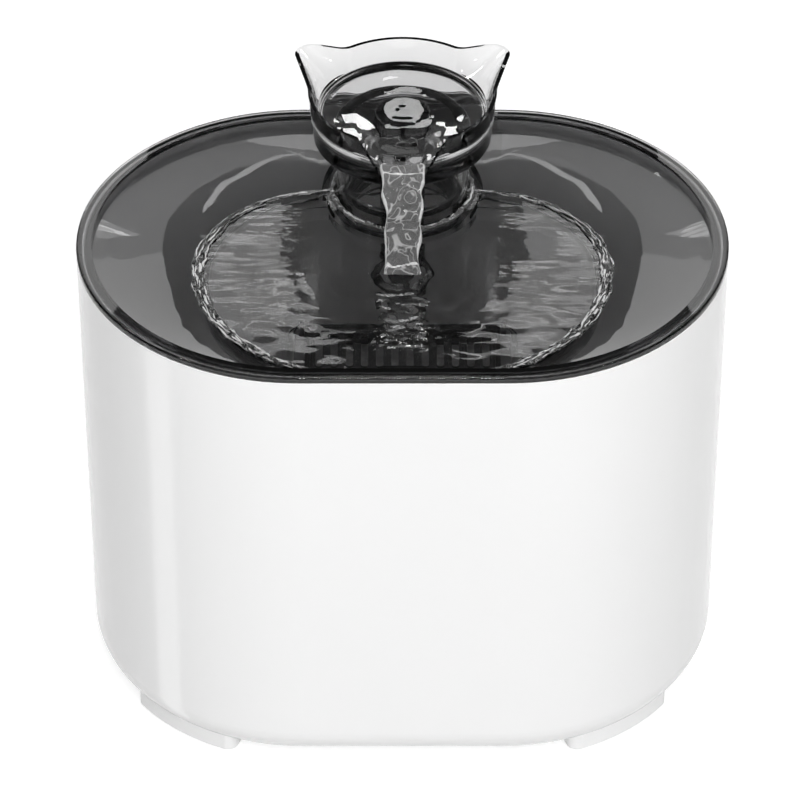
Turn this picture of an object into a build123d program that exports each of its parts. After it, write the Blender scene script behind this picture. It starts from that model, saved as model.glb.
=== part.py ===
"""Pet water fountain: stadium-shaped tank, drinking tray with a filter cartridge, cat-ear spout and pump.

All sizes are in millimetres. X runs along the tank's width, -Y is the front where the pet drinks, +Z is up.
The origin is at the middle of the footprint, on the surface that the four feet stand on.
"""
from build123d import *
from math import atan2, degrees, radians, sin, sqrt, tan
import os

# ---------------------------------------------------------------- tank
TANK_WIDTH = 200.0
TANK_DEPTH = 137.8
RIM_HEIGHT = 155.0
TANK_WALL = 2.4
TANK_FLOOR = 3.0
WALL_DRAFT = 0.6
BOTTOM_ROUNDING = 11.5
RIM_ROUNDING = 0.6
FOOT_HEIGHT = 3.0
FOOT_OUTER_RADIUS = 64.0
FOOT_THICKNESS = 10.0
FOOT_START_ANGLE = 33.0
FOOT_END_ANGLE = 70.0
FOOT_PAD_WIDTH = 5.0
FOOT_PAD_THICKNESS = 1.6
FOOT_PAD_RECESS = 1.1
FOOT_PAD_END_INSET = 6.0
CUP_RING_WALL = 1.4
CUP_RING_HEIGHT = 1.6

# ---------------------------------------------------------------- lead outlet in the rear rim
NOTCH_FROM_BEND = 5.6
NOTCH_WIDTH = 9.0
NOTCH_DEPTH = 14.0
NOTCH_CORNER = 2.0
GROMMET_LIP = 1.4
GROMMET_LIP_THICKNESS = 1.4
GROMMET_SETBACK = 0.4
LEAD_RADIUS = 2.0

# ---------------------------------------------------------------- tray
FLANGE_THICKNESS = 2.0
TRAY_WALL = 2.0
TRAY_THICKNESS = 2.0
TRAY_CLEARANCE = 0.4
DISH_EDGE_DROP = 4.5
POOL_DROP = 10.0
POOL_FLOOR_DROP = 21.0
POOL_SIDE_MARGIN = 32.7
POOL_REAR_MARGIN = 26.1
POOL_FRONT_MARGIN = 7.1
POOL_MIDDLE_Y = -3.0
POOL_REAR_STRAIGHT = 43.0
POOL_FRONT_STRAIGHT = 17.0
POOL_WALL_RUN = 4.0
DISH_HOLLOW = 0.7

# ---------------------------------------------------------------- column that carries the spout
COLUMN_RADIUS = 20.5
COLUMN_WALL = 1.9
PEDESTAL_RADIUS = 23.3
PEDESTAL_DROP = 13.5
SPIGOT_WALL = 2.5
SPIGOT_HEIGHT = 6.0
COLUMN_TOP_GAP = 0.4
COLUMN_FOOT_LIP = 1.5
COLUMN_FOOT_HEIGHT = 1.6
STEM_ENGAGEMENT = 15.6

# ---------------------------------------------------------------- spout cup
CUP_RIM_RADIUS = 29.2
CUP_WAIST_RADIUS = 28.4
CUP_BASE_RADIUS = 27.6
CUP_RIM_ABOVE_TRAY = 27.6
CUP_HEIGHT = 17.0
CUP_FLOOR = 5.0
CUP_BORE_RADIUS = 26.2
CUP_BASE_ROUNDING = 1.6
CUP_FLOOR_ROUNDING = 2.2
FLARE_HEIGHT = 9.0
INNER_FLARE_HEIGHT = 7.0
RIM_EDGE = 1.2
EAR_REACH = 44.8
EAR_ANGLE = 37.8
EAR_FRONT_ANGLE = 2.0
EAR_REAR_ANGLE = 52.2
EAR_ROUNDING = 5.5
EAR_ROOT_ROUNDING = 5.0
POUR_TOP_WIDTH = 27.4
POUR_BOTTOM_WIDTH = 15.0
CUP_REAR_INSET = 0.1
PORT_RADIUS = 5.5
SPREADER_RADIUS = 8.5
SPREADER_THICKNESS = 1.2
SPREADER_LIFT = 2.2
SPREADER_RIB = 1.4
SPREADER_PLUG = 4.0

# ---------------------------------------------------------------- riser tube
RISER_RADIUS = 7.0
RISER_WALL = 1.8
RISER_ENGAGEMENT = 10.0
PORT_TUBE_WALL = 2.0
PORT_SHOULDER = 2.5
SEAL_SECTION_RADIUS = 0.6
SEAL_DEPTH = 3.5

# ---------------------------------------------------------------- filter cartridge
CARTRIDGE_WIDTH = 66.0
CARTRIDGE_LENGTH = 27.0
CARTRIDGE_FRONT_GAP = 6.0
CARTRIDGE_CORNER = 4.0
CARTRIDGE_DEPTH = 16.0
CARTRIDGE_WALL = 1.4
CARTRIDGE_FLANGE = 1.6
CARTRIDGE_LEDGE = 3.0
BASKET_SLOT_WIDTH = 2.0
BASKET_SLOT_PITCH = 5.0
BASKET_SLOT_MARGIN = 1.5
LID_THICKNESS = 1.3
LID_CORNER = 2.0
LID_SLOT_WIDTH = 2.2
LID_SLOT_PITCH = 4.6
LID_FRONT_MARGIN = 1.4
LID_SLOT_MARGIN = 3.4
LID_TAB_WIDTH = 14.0
LID_TAB_THICKNESS = 2.0
LID_TAB_HEIGHT = 1.4
LID_LIFT = 0.15
HINGE_ROD_RADIUS = 1.3
HINGE_PIN_RADIUS = 0.9
HINGE_EAR = 1.6
HINGE_EAR_WALL = 1.1
HINGE_EAR_EDGE = 1.5
HINGE_SETBACK = 3.2
FELT_THICKNESS = 4.0
CARBON_THICKNESS = 8.0
PAD_CLEARANCE = 0.3

# ---------------------------------------------------------------- pump
PUMP_LENGTH = 43.0
PUMP_WIDTH = 36.0
PUMP_HEIGHT = 34.0
PUMP_CORNER = 5.0
PUMP_TOP_ROUNDING = 1.5
PUMP_OUTLET_SETBACK = 9.5
OUTLET_RADIUS = 3.8
NOZZLE_HEIGHT = 12.0
CHAMBER_RADIUS = 12.0
CHAMBER_DEPTH = 15.0
CHAMBER_BACK_WALL = 2.0
ROTOR_BORE_RADIUS = 7.5
ROTOR_BORE_DEPTH = 18.0
ROTOR_CAN_WALL = 1.3
SHAFT_RADIUS = 1.0
MAGNET_RADIUS = 6.8
MAGNET_LENGTH = 14.0
MAGNET_CHAMFER = 0.5
BLADE_RADIUS = 10.5
BLADE_WIDTH = 8.0
BLADE_THICKNESS = 1.2
BLADE_COUNT = 6
HUB_RADIUS = 3.4
AXIAL_PLAY = 0.5
BUSH_RADIUS = 2.6
BUSH_LENGTH = 3.0
BUSH_SETBACK = 0.5
EYE_RADIUS = 8.0
VOLUTE_PLATE = 2.0
SPIDER_HUB_RADIUS = 3.6
SPIDER_ARM = 1.6
SPIDER_ARMS = 3
STATOR_CAVITY_WALL = 2.4
CORE_THICKNESS = 3.0
CORE_HEIGHT = 12.0
CORE_SETBACK = 3.0
YOKE_GAP = 1.4
YOKE_THICKNESS = 2.4
COIL_THICKNESS = 2.6
COIL_WIDTH = 15.0
COIL_SIDE = 0.9
COIL_ROUNDING = 0.8
END_CAP_THICKNESS = 2.5
COVER_LENGTH = 13.0
COVER_WALL = 1.8
COVER_OVERLAP = 3.0
COVER_SLOT_WIDTH = 2.2
COVER_SLOT_PITCH = 4.4
COVER_SLOT_MARGIN = 6.0
COVER_HUB_MARGIN = 2.5
SPONGE_THICKNESS = 7.0
SPONGE_GAP = 1.0
DIAL_RADIUS = 8.0
DIAL_THICKNESS = 2.6
DIAL_PIN_RADIUS = 2.0
DIAL_PIN_PROUD = 0.6
DIAL_KNURLS = 16
DIAL_KNURL_RADIUS = 0.9
DIAL_POINTER_WIDTH = 2.0
DIAL_POINTER_HEIGHT = 0.8
DIAL_POINTER_SETBACK = 2.0
SUCTION_RADIUS = 5.5
SUCTION_HEIGHT = 5.0
SUCTION_EDGE = 0.5
SUCTION_NECK_HEIGHT = 1.2
SUCTION_NECK_RADIUS = 2.4
SUCTION_PLUG = 1.8
SUCTION_SPACING_X = 26.0
SUCTION_SPACING_Y = 20.0
GLAND_RADIUS = 4.2
GLAND_TIP_RADIUS = 3.2
GLAND_STUB_RADIUS = 3.0
GLAND_LENGTH = 7.0
LEAD_ENTRY_DEPTH = 5.0

# ---------------------------------------------------------------- clearances
RUNNING = 0.05
SLIDING = 0.1
LOOSE = 0.4

# ---------------------------------------------------------------- how far a cut reaches past, or an arm into, a body
OVERCUT = 1.0
SUNK = 0.5

# ---------------------------------------------------------------- levels and places worked out from the sizes
END_RADIUS = TANK_DEPTH / 2
END_CENTRE_X = TANK_WIDTH / 2 - END_RADIUS
NOTCH_X = END_CENTRE_X - NOTCH_FROM_BEND
NOTCH_FLOOR = RIM_HEIGHT - NOTCH_DEPTH
TANK_BOTTOM = FOOT_HEIGHT
TANK_INSIDE = TANK_BOTTOM + TANK_FLOOR
TRAY_TOP = RIM_HEIGHT + FLANGE_THICKNESS
SKIRT_RADIUS = END_RADIUS - TANK_WALL - TRAY_CLEARANCE
DISH_RADIUS = SKIRT_RADIUS - TRAY_WALL
DISH_EDGE = TRAY_TOP - DISH_EDGE_DROP
POOL_LEVEL = TRAY_TOP - POOL_DROP
POOL_FLOOR = TRAY_TOP - POOL_FLOOR_DROP
PEDESTAL_TOP = TRAY_TOP - PEDESTAL_DROP
CUP_RIM = TRAY_TOP + CUP_RIM_ABOVE_TRAY
CUP_BASE = CUP_RIM - CUP_HEIGHT
CUP_INSIDE = CUP_BASE + CUP_FLOOR
SPOUT_Y = END_RADIUS - CUP_RIM_RADIUS - CUP_REAR_INSET
COLUMN_BORE = COLUMN_RADIUS - COLUMN_WALL
STEM_RADIUS = COLUMN_BORE - SLIDING
STEM_BORE = STEM_RADIUS - SPIGOT_WALL
STEM_BOTTOM = CUP_BASE - STEM_ENGAGEMENT
RISER_TOP = CUP_BASE - PORT_SHOULDER
PORT_TUBE_BORE = RISER_RADIUS + SLIDING
PORT_TUBE_BOTTOM = RISER_TOP - RISER_ENGAGEMENT
PUMP_BASE = TANK_INSIDE + SUCTION_HEIGHT
PUMP_TOP = PUMP_BASE + PUMP_HEIGHT
PUMP_AXIS = PUMP_BASE + PUMP_HEIGHT / 2
PUMP_X0 = -PUMP_OUTLET_SETBACK
PUMP_X1 = PUMP_X0 + PUMP_LENGTH


# ================================================================ outlines
def oval(z, half_x, rear_y, front_y, middle_y, rear_straight, front_straight):
    """A closed outline of two straights and four quarter ellipses, widest at middle_y, as a face at height z."""
    rear_x = rear_straight / 2
    front_x = front_straight / 2
    rear = rear_y - middle_y
    front = middle_y - front_y
    right = Vector(half_x, middle_y, z)
    left = Vector(-half_x, middle_y, z)
    edges = [
        Line((front_x, front_y, z), (-front_x, front_y, z)),
        quarter((-front_x, middle_y, z), (-front_x, front_y, z), left),
        quarter((-rear_x, middle_y, z), left, (-rear_x, rear_y, z)),
        Line((-rear_x, rear_y, z), (rear_x, rear_y, z)),
        quarter((rear_x, middle_y, z), (rear_x, rear_y, z), right),
        quarter((front_x, middle_y, z), right, (front_x, front_y, z)),
    ]
    return Face(Wire(edges))


def quarter(centre, start, end):
    """A quarter ellipse about centre, from start to end."""
    centre, start, end = Vector(centre), Vector(start), Vector(end)
    x_radius = max(abs(start.X - centre.X), abs(end.X - centre.X))
    y_radius = max(abs(start.Y - centre.Y), abs(end.Y - centre.Y))
    begin = degrees(atan2((start.Y - centre.Y) / y_radius, (start.X - centre.X) / x_radius))
    return EllipticalCenterArc(centre, x_radius, y_radius, begin, arc_size=-90)


def rim_oval(z, radius):
    """The tank's own stadium outline, with end circles of the given radius."""
    straight = 2 * END_CENTRE_X
    return oval(z, END_CENTRE_X + radius, radius, -radius, 0, straight, straight)


def pool_oval(z, grow=0.0):
    """The pool's outline, grown outwards by the given amount."""
    inner_x = END_CENTRE_X + DISH_RADIUS
    return oval(
        z,
        inner_x - POOL_SIDE_MARGIN + grow,
        DISH_RADIUS - POOL_REAR_MARGIN + grow,
        -DISH_RADIUS + POOL_FRONT_MARGIN - grow,
        POOL_MIDDLE_Y,
        POOL_REAR_STRAIGHT,
        POOL_FRONT_STRAIGHT,
    )


def dish_middle(z):
    """The dish's outline half way down its slope."""
    side = (END_CENTRE_X + DISH_RADIUS) - POOL_SIDE_MARGIN / 2
    return oval(
        z,
        side,
        DISH_RADIUS - POOL_REAR_MARGIN / 2,
        -DISH_RADIUS + POOL_FRONT_MARGIN / 2,
        POOL_MIDDLE_Y / 2,
        END_CENTRE_X + POOL_REAR_STRAIGHT / 2,
        END_CENTRE_X + POOL_FRONT_STRAIGHT / 2,
    )


def around_stadium(profile):
    """A body whose wall section (radius along X, height along Z) goes round the tank's stadium plan."""
    half_turn = Pos(END_CENTRE_X, 0, 0) * revolve(Rot(0, 0, -90) * profile, Axis.Z, 180)
    across = Rot(0, 0, 90) * profile
    middle = extrude(Pos(-END_CENTRE_X, 0, 0) * across, 2 * END_CENTRE_X, dir=(1, 0, 0))
    body = half_turn + half_turn.mirror(Plane.YZ)
    return body + middle + middle.mirror(Plane.XZ)


def section(points):
    """A closed polygon of (radius, height) pairs as a face in the XZ plane."""
    return Plane.XZ * make_face(Polyline(*points, close=True))


def ring(outer, inner, z0, z1, x=0.0, y=0.0):
    """An upright tube about the line at x, y."""
    tube = Cylinder(outer, z1 - z0, align=(Align.CENTER, Align.CENTER, Align.MIN))
    bore = Cylinder(inner, z1 - z0, align=(Align.CENTER, Align.CENTER, Align.MIN))
    return Pos(x, y, z0) * (tube - bore)


def disc(radius, z0, z1, x=0.0, y=0.0):
    """An upright cylinder about the line at x, y."""
    return Pos(x, y, z0) * Cylinder(radius, z1 - z0, align=(Align.CENTER, Align.CENTER, Align.MIN))


def rod(radius, x0, x1, y, z):
    """A cylinder along X."""
    turned = Rot(0, 90, 0) * Cylinder(radius, x1 - x0, align=(Align.CENTER, Align.CENTER, Align.MIN))
    return Pos(x0, y, z) * turned


def block(x0, x1, y0, y1, z0, z1):
    """A box from its lowest to its highest corner."""
    return Pos(x0, y0, z0) * Box(x1 - x0, y1 - y0, z1 - z0, align=(Align.MIN, Align.MIN, Align.MIN))


def rounded_block(x0, x1, y0, y1, z0, z1, radius):
    """A box with its upright edges rounded."""
    plan = RectangleRounded(x1 - x0, y1 - y0, radius)
    return Pos((x0 + x1) / 2, (y0 + y1) / 2, z0) * extrude(plan, z1 - z0)


def repeats(pitch, span):
    """The places of a centred row with the given pitch that stays inside a span."""
    count = int(span / pitch)
    return [(i - (count - 1) / 2) * pitch for i in range(count)]


# ================================================================ tank
def wall_radius(z, inset=0.0):
    """The end radius of the drafted outer wall at height z, less an inset."""
    return END_RADIUS - inset - (RIM_HEIGHT - z) * tan(radians(WALL_DRAFT))


def tank_section(inset, bottom, top, rounding):
    """The half section of the tank's outer body or of its cavity."""
    foot = wall_radius(bottom, inset)
    high = wall_radius(top, inset)
    start = (foot - rounding, bottom)
    end = (foot + rounding * tan(radians(WALL_DRAFT)), bottom + rounding)
    edges = [
        Line((0, bottom), start),
        RadiusArc(start, end, -rounding, short_sagitta=True),
        Line(end, (high, top)),
        Line((high, top), (0, top)),
        Line((0, top), (0, bottom)),
    ]
    return Plane.XZ * make_face(edges)


def foot_ring(outer, thickness, z0, z1, trim):
    """One arc foot at the front right corner, or its pad, shorter by trim at both ends."""
    trim_angle = degrees(trim / outer)
    first = -FOOT_END_ANGLE + trim_angle
    sweep = FOOT_END_ANGLE - FOOT_START_ANGLE - 2 * trim_angle
    profile = section([(outer - thickness, z0), (outer, z0), (outer, z1), (outer - thickness, z1)])
    return Pos(END_CENTRE_X, 0, 0) * Rot(0, 0, first) * revolve(profile, Axis.Z, sweep)


def four_corners(piece):
    """The piece at the front right corner and its three mirror images."""
    pair = [piece, piece.mirror(Plane.YZ)]
    return pair + [half.mirror(Plane.XZ) for half in pair]


def make_tank_shell():
    body = around_stadium(tank_section(0, TANK_BOTTOM, RIM_HEIGHT, BOTTOM_ROUNDING))
    inner_rounding = BOTTOM_ROUNDING - TANK_WALL
    cavity = around_stadium(tank_section(TANK_WALL, TANK_INSIDE, RIM_HEIGHT + OVERCUT, inner_rounding))
    foot_base = FOOT_PAD_THICKNESS - FOOT_PAD_RECESS
    foot_top = TANK_BOTTOM + BOTTOM_ROUNDING / 2
    foot = foot_ring(FOOT_OUTER_RADIUS, FOOT_THICKNESS, foot_base, foot_top, 0)
    foot = fillet(foot.edges().filter_by(Axis.Z), FOOT_THICKNESS * 0.35)
    for corner in four_corners(foot):
        body += corner
    shell = body - cavity
    shell = fillet(shell.edges().group_by(Axis.Z)[-1], RIM_ROUNDING)
    for recess in four_corners(foot_pad()):
        shell -= recess
    shell -= lead_notch(0)
    for x, y in suction_places():
        shell += ring(
            SUCTION_RADIUS + LOOSE + CUP_RING_WALL,
            SUCTION_RADIUS + LOOSE,
            TANK_INSIDE - TANK_FLOOR / 2,
            TANK_INSIDE + CUP_RING_HEIGHT,
            x,
            y,
        )
    return shell


def foot_pad():
    """The pad let into the front right foot, which stands a little proud of it."""
    outer = FOOT_OUTER_RADIUS - (FOOT_THICKNESS - FOOT_PAD_WIDTH) / 2
    return foot_ring(outer, FOOT_PAD_WIDTH, 0, FOOT_PAD_THICKNESS, FOOT_PAD_END_INSET)


def lead_notch(grow):
    """The round-cornered opening for the pump's lead in the tank's rear rim."""
    width = NOTCH_WIDTH + 2 * grow
    floor = NOTCH_FLOOR - grow
    top = RIM_HEIGHT + NOTCH_CORNER + OVERCUT
    outline = RectangleRounded(width, top - floor, NOTCH_CORNER + grow)
    window = Plane.XZ * Pos(NOTCH_X, (floor + top) / 2) * outline
    return Pos(0, END_RADIUS - 3 * TANK_WALL, 0) * extrude(window, 4 * TANK_WALL, dir=(0, 1, 0))


def suction_places():
    """Where the pump's four suction cups stand."""
    middle_x = (PUMP_X0 + PUMP_X1) / 2
    return [
        (middle_x + i * SUCTION_SPACING_X / 2, SPOUT_Y + j * SUCTION_SPACING_Y / 2)
        for i in (-1, 1)
        for j in (-1, 1)
    ]


def make_foot_pads():
    return Compound(children=four_corners(foot_pad()))


def make_cable_grommet():
    """A rubber plug that fills the notch, with a lip behind the wall below the tray's skirt."""
    inner_face = wall_radius(NOTCH_FLOOR - GROMMET_LIP, TANK_WALL)
    lip_face = inner_face - SLIDING
    lip_top = DISH_EDGE - TRAY_THICKNESS - LOOSE
    plug = grommet_slice(-RUNNING, inner_face, END_RADIUS - GROMMET_SETBACK, RIM_HEIGHT - SLIDING)
    lip = grommet_slice(GROMMET_LIP, lip_face - GROMMET_LIP_THICKNESS, lip_face, lip_top)
    neck = grommet_slice(-RUNNING, lip_face - SLIDING, inner_face, lip_top)
    lead = Rot(-90, 0, 0) * Cylinder(LEAD_RADIUS, TANK_DEPTH, align=(Align.CENTER, Align.CENTER, Align.MIN))
    return plug + neck + lip - Pos(NOTCH_X, 0, NOTCH_FLOOR + NOTCH_WIDTH / 2) * lead


def grommet_slice(grow, y0, y1, top):
    """The part of the grown notch between two planes across Y, up to a level."""
    return lead_notch(grow) & block(-TANK_WIDTH, TANK_WIDTH, y0, y1, 0, top)


# ================================================================ tray
def make_tray():
    under_edge = DISH_EDGE - TRAY_THICKNESS
    under_pool = POOL_LEVEL - TRAY_THICKNESS
    under_floor = POOL_FLOOR - TRAY_THICKNESS
    grow = TRAY_THICKNESS * 0.75
    rim_of_recess = POOL_LEVEL + TRAY_THICKNESS / 2
    flange = extrude(rim_oval(RIM_HEIGHT, END_RADIUS), FLANGE_THICKNESS, dir=(0, 0, 1))
    flange = fillet(flange.edges().group_by(Axis.Z)[-1], FLANGE_THICKNESS * 0.4)
    body = flange
    body += extrude(rim_oval(under_edge, SKIRT_RADIUS), TRAY_TOP - FLANGE_THICKNESS / 4 - under_edge, dir=(0, 0, 1))
    body += loft([rim_oval(under_edge, SKIRT_RADIUS), pool_oval(under_pool, grow)], ruled=True)
    body += loft([pool_oval(under_pool, grow), pool_oval(under_floor, grow - POOL_WALL_RUN)], ruled=True)
    body += disc(PEDESTAL_RADIUS + TRAY_THICKNESS, PEDESTAL_TOP - TRAY_THICKNESS, rim_of_recess, 0, SPOUT_Y)
    body += cartridge_frame()

    body -= extrude(rim_oval(DISH_EDGE, DISH_RADIUS), DISH_EDGE_DROP + OVERCUT, dir=(0, 0, 1))
    middle_z = (DISH_EDGE + POOL_LEVEL) / 2 - DISH_HOLLOW
    body -= loft([rim_oval(DISH_EDGE, DISH_RADIUS), dish_middle(middle_z), pool_oval(POOL_LEVEL)])
    body -= loft([pool_oval(POOL_LEVEL), pool_oval(POOL_FLOOR, -POOL_WALL_RUN)], ruled=True)
    body -= disc(PEDESTAL_RADIUS, under_floor - OVERCUT, DISH_EDGE, 0, SPOUT_Y)

    pedestal = disc(PEDESTAL_RADIUS, under_floor, PEDESTAL_TOP, 0, SPOUT_Y)
    pedestal -= disc(PEDESTAL_RADIUS - TRAY_THICKNESS, under_floor, PEDESTAL_TOP - TRAY_THICKNESS, 0, SPOUT_Y)
    pedestal += disc(STEM_RADIUS, PEDESTAL_TOP - TRAY_THICKNESS, PEDESTAL_TOP + SPIGOT_HEIGHT, 0, SPOUT_Y)
    pedestal -= disc(STEM_BORE, under_floor - OVERCUT, PEDESTAL_TOP + SPIGOT_HEIGHT + OVERCUT, 0, SPOUT_Y)
    body += pedestal
    return body - cartridge_opening()


# ================================================================ column and spout
def make_riser_sleeve():
    foot = PEDESTAL_TOP + RUNNING
    top = CUP_BASE - COLUMN_TOP_GAP
    column = disc(COLUMN_RADIUS, foot, top, 0, SPOUT_Y)
    column += disc(COLUMN_RADIUS + COLUMN_FOOT_LIP, foot, foot + COLUMN_FOOT_HEIGHT, 0, SPOUT_Y)
    column = fillet(column.edges().group_by(Axis.Z)[-2:], COLUMN_WALL * 0.3)
    return column - disc(COLUMN_BORE, foot - OVERCUT, top + OVERCUT, 0, SPOUT_Y)


def corner_arc(corner, one_way, other_way, rounding):
    """Three points of the arc that rounds a corner between two directions."""
    half_angle = radians(one_way.get_angle(other_way) / 2)
    leg = rounding / tan(half_angle)
    middle = corner + (one_way + other_way).normalized() * (rounding / sin(half_angle) - rounding)
    return [corner + one_way * leg, middle, corner + other_way * leg]


def ear_root(radius, angle, tip, side):
    """The rounded corner where the ear's edge leaves the circle, from the circle to the edge."""
    root = Vector(radius, 0).rotate(Axis.Z, angle)
    along = Vector(-root.Y, root.X).normalized() * side
    on_line, middle, beside = corner_arc(root, (tip - root).normalized(), along, EAR_ROOT_ROUNDING)
    return [beside.normalized() * radius, middle, on_line]


def ear_points(radius, reach, rounding):
    """The right ear seen from above: three points each for its front root, its tip and its rear root."""
    tip = Vector(reach, 0).rotate(Axis.Z, EAR_ANGLE)
    front = ear_root(radius, EAR_FRONT_ANGLE, tip, -1)
    rear = ear_root(radius, EAR_REAR_ANGLE, tip, 1)
    top = corner_arc(tip, (front[2] - tip).normalized(), (rear[2] - tip).normalized(), rounding)
    return front + top + rear[::-1]


def ear_edges(points):
    return [
        ThreePointArc(*points[0:3]),
        Line(points[2], points[3]),
        ThreePointArc(*points[3:6]),
        Line(points[5], points[6]),
        ThreePointArc(*points[6:9]),
    ]


def cat_outline(z, radius, reach, rounding):
    """The cup's rim seen from above: a circle with two pointed ears behind its middle."""
    right = ear_points(radius, reach, rounding)
    left = [Vector(-p.X, p.Y) for p in reversed(right)]
    edges = ear_edges(right)
    edges.append(ThreePointArc(right[-1], Vector(0, radius), left[0]))
    edges += ear_edges(left)
    edges.append(ThreePointArc(left[-1], Vector(0, -radius), right[0]))
    return Pos(0, SPOUT_Y, z) * Face(Wire(edges))


def waist_outline(z, radius, reach, rounding):
    """A circle split where the cat outline has its corners, so that the two join edge to edge."""
    right = ear_points(radius, reach, rounding)
    turns = [degrees(atan2(right[i].Y, right[i].X)) for i in (0, 2, 3, 5, 6, 8)]
    turns += [180 - turn for turn in reversed(turns)]
    ends = turns[1:] + [turns[0] + 360]
    edges = [CenterArc((0, 0), radius, a, b - a) for a, b in zip(turns, ends)]
    return Pos(0, SPOUT_Y, z) * Face(Wire(edges))


def make_spout_cup():
    waist = CUP_RIM - FLARE_HEIGHT
    inner_waist = CUP_RIM - INNER_FLARE_HEIGHT
    base = section([(0, CUP_BASE), (CUP_BASE_RADIUS, CUP_BASE), (CUP_WAIST_RADIUS, waist), (0, waist)])
    cup = Pos(0, SPOUT_Y, 0) * revolve(base, Axis.Z)
    cup = fillet(cup.edges().group_by(Axis.Z)[0], CUP_BASE_ROUNDING)
    cup += loft(
        [
            waist_outline(waist, CUP_WAIST_RADIUS, EAR_REACH, EAR_ROUNDING),
            cat_outline(CUP_RIM, CUP_RIM_RADIUS, EAR_REACH, EAR_ROUNDING),
        ],
        ruled=True,
    )
    corner_angle = radians(ear_tip_angle() / 2)
    inner_reach = EAR_REACH - RIM_EDGE / sin(corner_angle)
    inner_rounding = EAR_ROUNDING - RIM_EDGE
    inner_rim = cat_outline(CUP_RIM, CUP_RIM_RADIUS - RIM_EDGE, inner_reach, inner_rounding)
    inner_circle = waist_outline(inner_waist, CUP_BORE_RADIUS, inner_reach, inner_rounding)
    cup -= loft([inner_circle, inner_rim], ruled=True)
    cup -= extrude(inner_rim, OVERCUT, dir=(0, 0, 1))
    well = disc(CUP_BORE_RADIUS, CUP_INSIDE, inner_waist, 0, SPOUT_Y)
    cup -= fillet(well.edges().group_by(Axis.Z)[0], CUP_FLOOR_ROUNDING)
    inside_floor = CUP_BASE + CUP_FLOOR / 2
    cup += ring(STEM_RADIUS, STEM_BORE, STEM_BOTTOM, inside_floor, 0, SPOUT_Y)
    cup += disc(PORT_TUBE_BORE + PORT_TUBE_WALL, PORT_TUBE_BOTTOM, inside_floor, 0, SPOUT_Y)
    cup -= disc(PORT_TUBE_BORE, PORT_TUBE_BOTTOM - OVERCUT, RISER_TOP + LOOSE, 0, SPOUT_Y)
    cup -= disc(PORT_RADIUS, PORT_TUBE_BOTTOM, CUP_INSIDE + OVERCUT, 0, SPOUT_Y)
    return cup - pouring_notch()


def ear_tip_angle():
    """The ear's angle at its tip before it is rounded."""
    points = ear_points(CUP_RIM_RADIUS, EAR_REACH, EAR_ROUNDING)
    return (points[2] - points[3]).get_angle(points[6] - points[5])


def pouring_notch():
    """The flared gap at the cup's front, down to the cup's floor."""
    top = POUR_TOP_WIDTH / 2
    bottom = POUR_BOTTOM_WIDTH / 2
    slope = (top - bottom) / (CUP_RIM - CUP_INSIDE)
    above = CUP_RIM + OVERCUT
    high = top + OVERCUT * slope
    points = [(-bottom, CUP_INSIDE), (bottom, CUP_INSIDE), (high, above), (-high, above)]
    outside = -CUP_RIM_RADIUS - OVERCUT
    inside = OVERCUT - sqrt(CUP_BORE_RADIUS**2 - top**2)
    return Pos(0, SPOUT_Y + outside, 0) * extrude(section(points), inside - outside, dir=(0, 1, 0))


def make_flow_spreader():
    under = CUP_INSIDE + SPREADER_LIFT
    cap = disc(SPREADER_RADIUS, under, under + SPREADER_THICKNESS, 0, SPOUT_Y)
    cap = fillet(cap.edges().group_by(Axis.Z)[-1], SPREADER_THICKNESS * 0.5)
    half = SPREADER_RIB / 2
    reach = SPREADER_RADIUS - LOOSE
    plug = PORT_RADIUS - SLIDING
    vane = block(-reach, reach, -half, half, CUP_INSIDE, under + SPREADER_THICKNESS / 2)
    vane += block(-plug, plug, -half, half, CUP_INSIDE - SPREADER_PLUG, CUP_INSIDE)
    vanes = vane + Rot(0, 0, 90) * vane
    return cap + Pos(0, SPOUT_Y, 0) * vanes


# ================================================================ riser tube
def make_riser_tube():
    tube = ring(RISER_RADIUS, RISER_RADIUS - RISER_WALL, PUMP_TOP + LOOSE, RISER_TOP, 0, SPOUT_Y)
    seal_z = RISER_TOP - SEAL_DEPTH
    groove_radius = PORT_TUBE_BORE - RUNNING - 2 * SEAL_SECTION_RADIUS
    half = SEAL_SECTION_RADIUS + RUNNING
    return tube - ring(RISER_RADIUS + OVERCUT, groove_radius, seal_z - half, seal_z + half, 0, SPOUT_Y)


def make_riser_seal():
    middle = PORT_TUBE_BORE - RUNNING - SEAL_SECTION_RADIUS
    return Pos(0, SPOUT_Y, RISER_TOP - SEAL_DEPTH) * Torus(middle, SEAL_SECTION_RADIUS)


# ================================================================ filter cartridge
CARTRIDGE_Y0 = -DISH_RADIUS + POOL_FRONT_MARGIN + POOL_WALL_RUN + CARTRIDGE_FRONT_GAP
CARTRIDGE_Y1 = CARTRIDGE_Y0 + CARTRIDGE_LENGTH
CARTRIDGE_BASE = POOL_FLOOR - CARTRIDGE_DEPTH
FLANGE_BASE = POOL_FLOOR - CARTRIDGE_FLANGE
HINGE_Y = CARTRIDGE_Y1 - HINGE_SETBACK
HINGE_Z = POOL_FLOOR + LID_LIFT + HINGE_ROD_RADIUS


def cartridge_block(inset, z0, z1):
    """A rounded block with the cartridge flange's plan, inset all round."""
    half = CARTRIDGE_WIDTH / 2 - inset
    corner = max(CARTRIDGE_CORNER - inset, 1.0)
    return rounded_block(-half, half, CARTRIDGE_Y0 + inset, CARTRIDGE_Y1 - inset, z0, z1, corner)


def cartridge_frame():
    """The thickened frame that carries the cartridge under the pool's floor."""
    return cartridge_block(-TRAY_THICKNESS, FLANGE_BASE - TRAY_THICKNESS, POOL_FLOOR)


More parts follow.
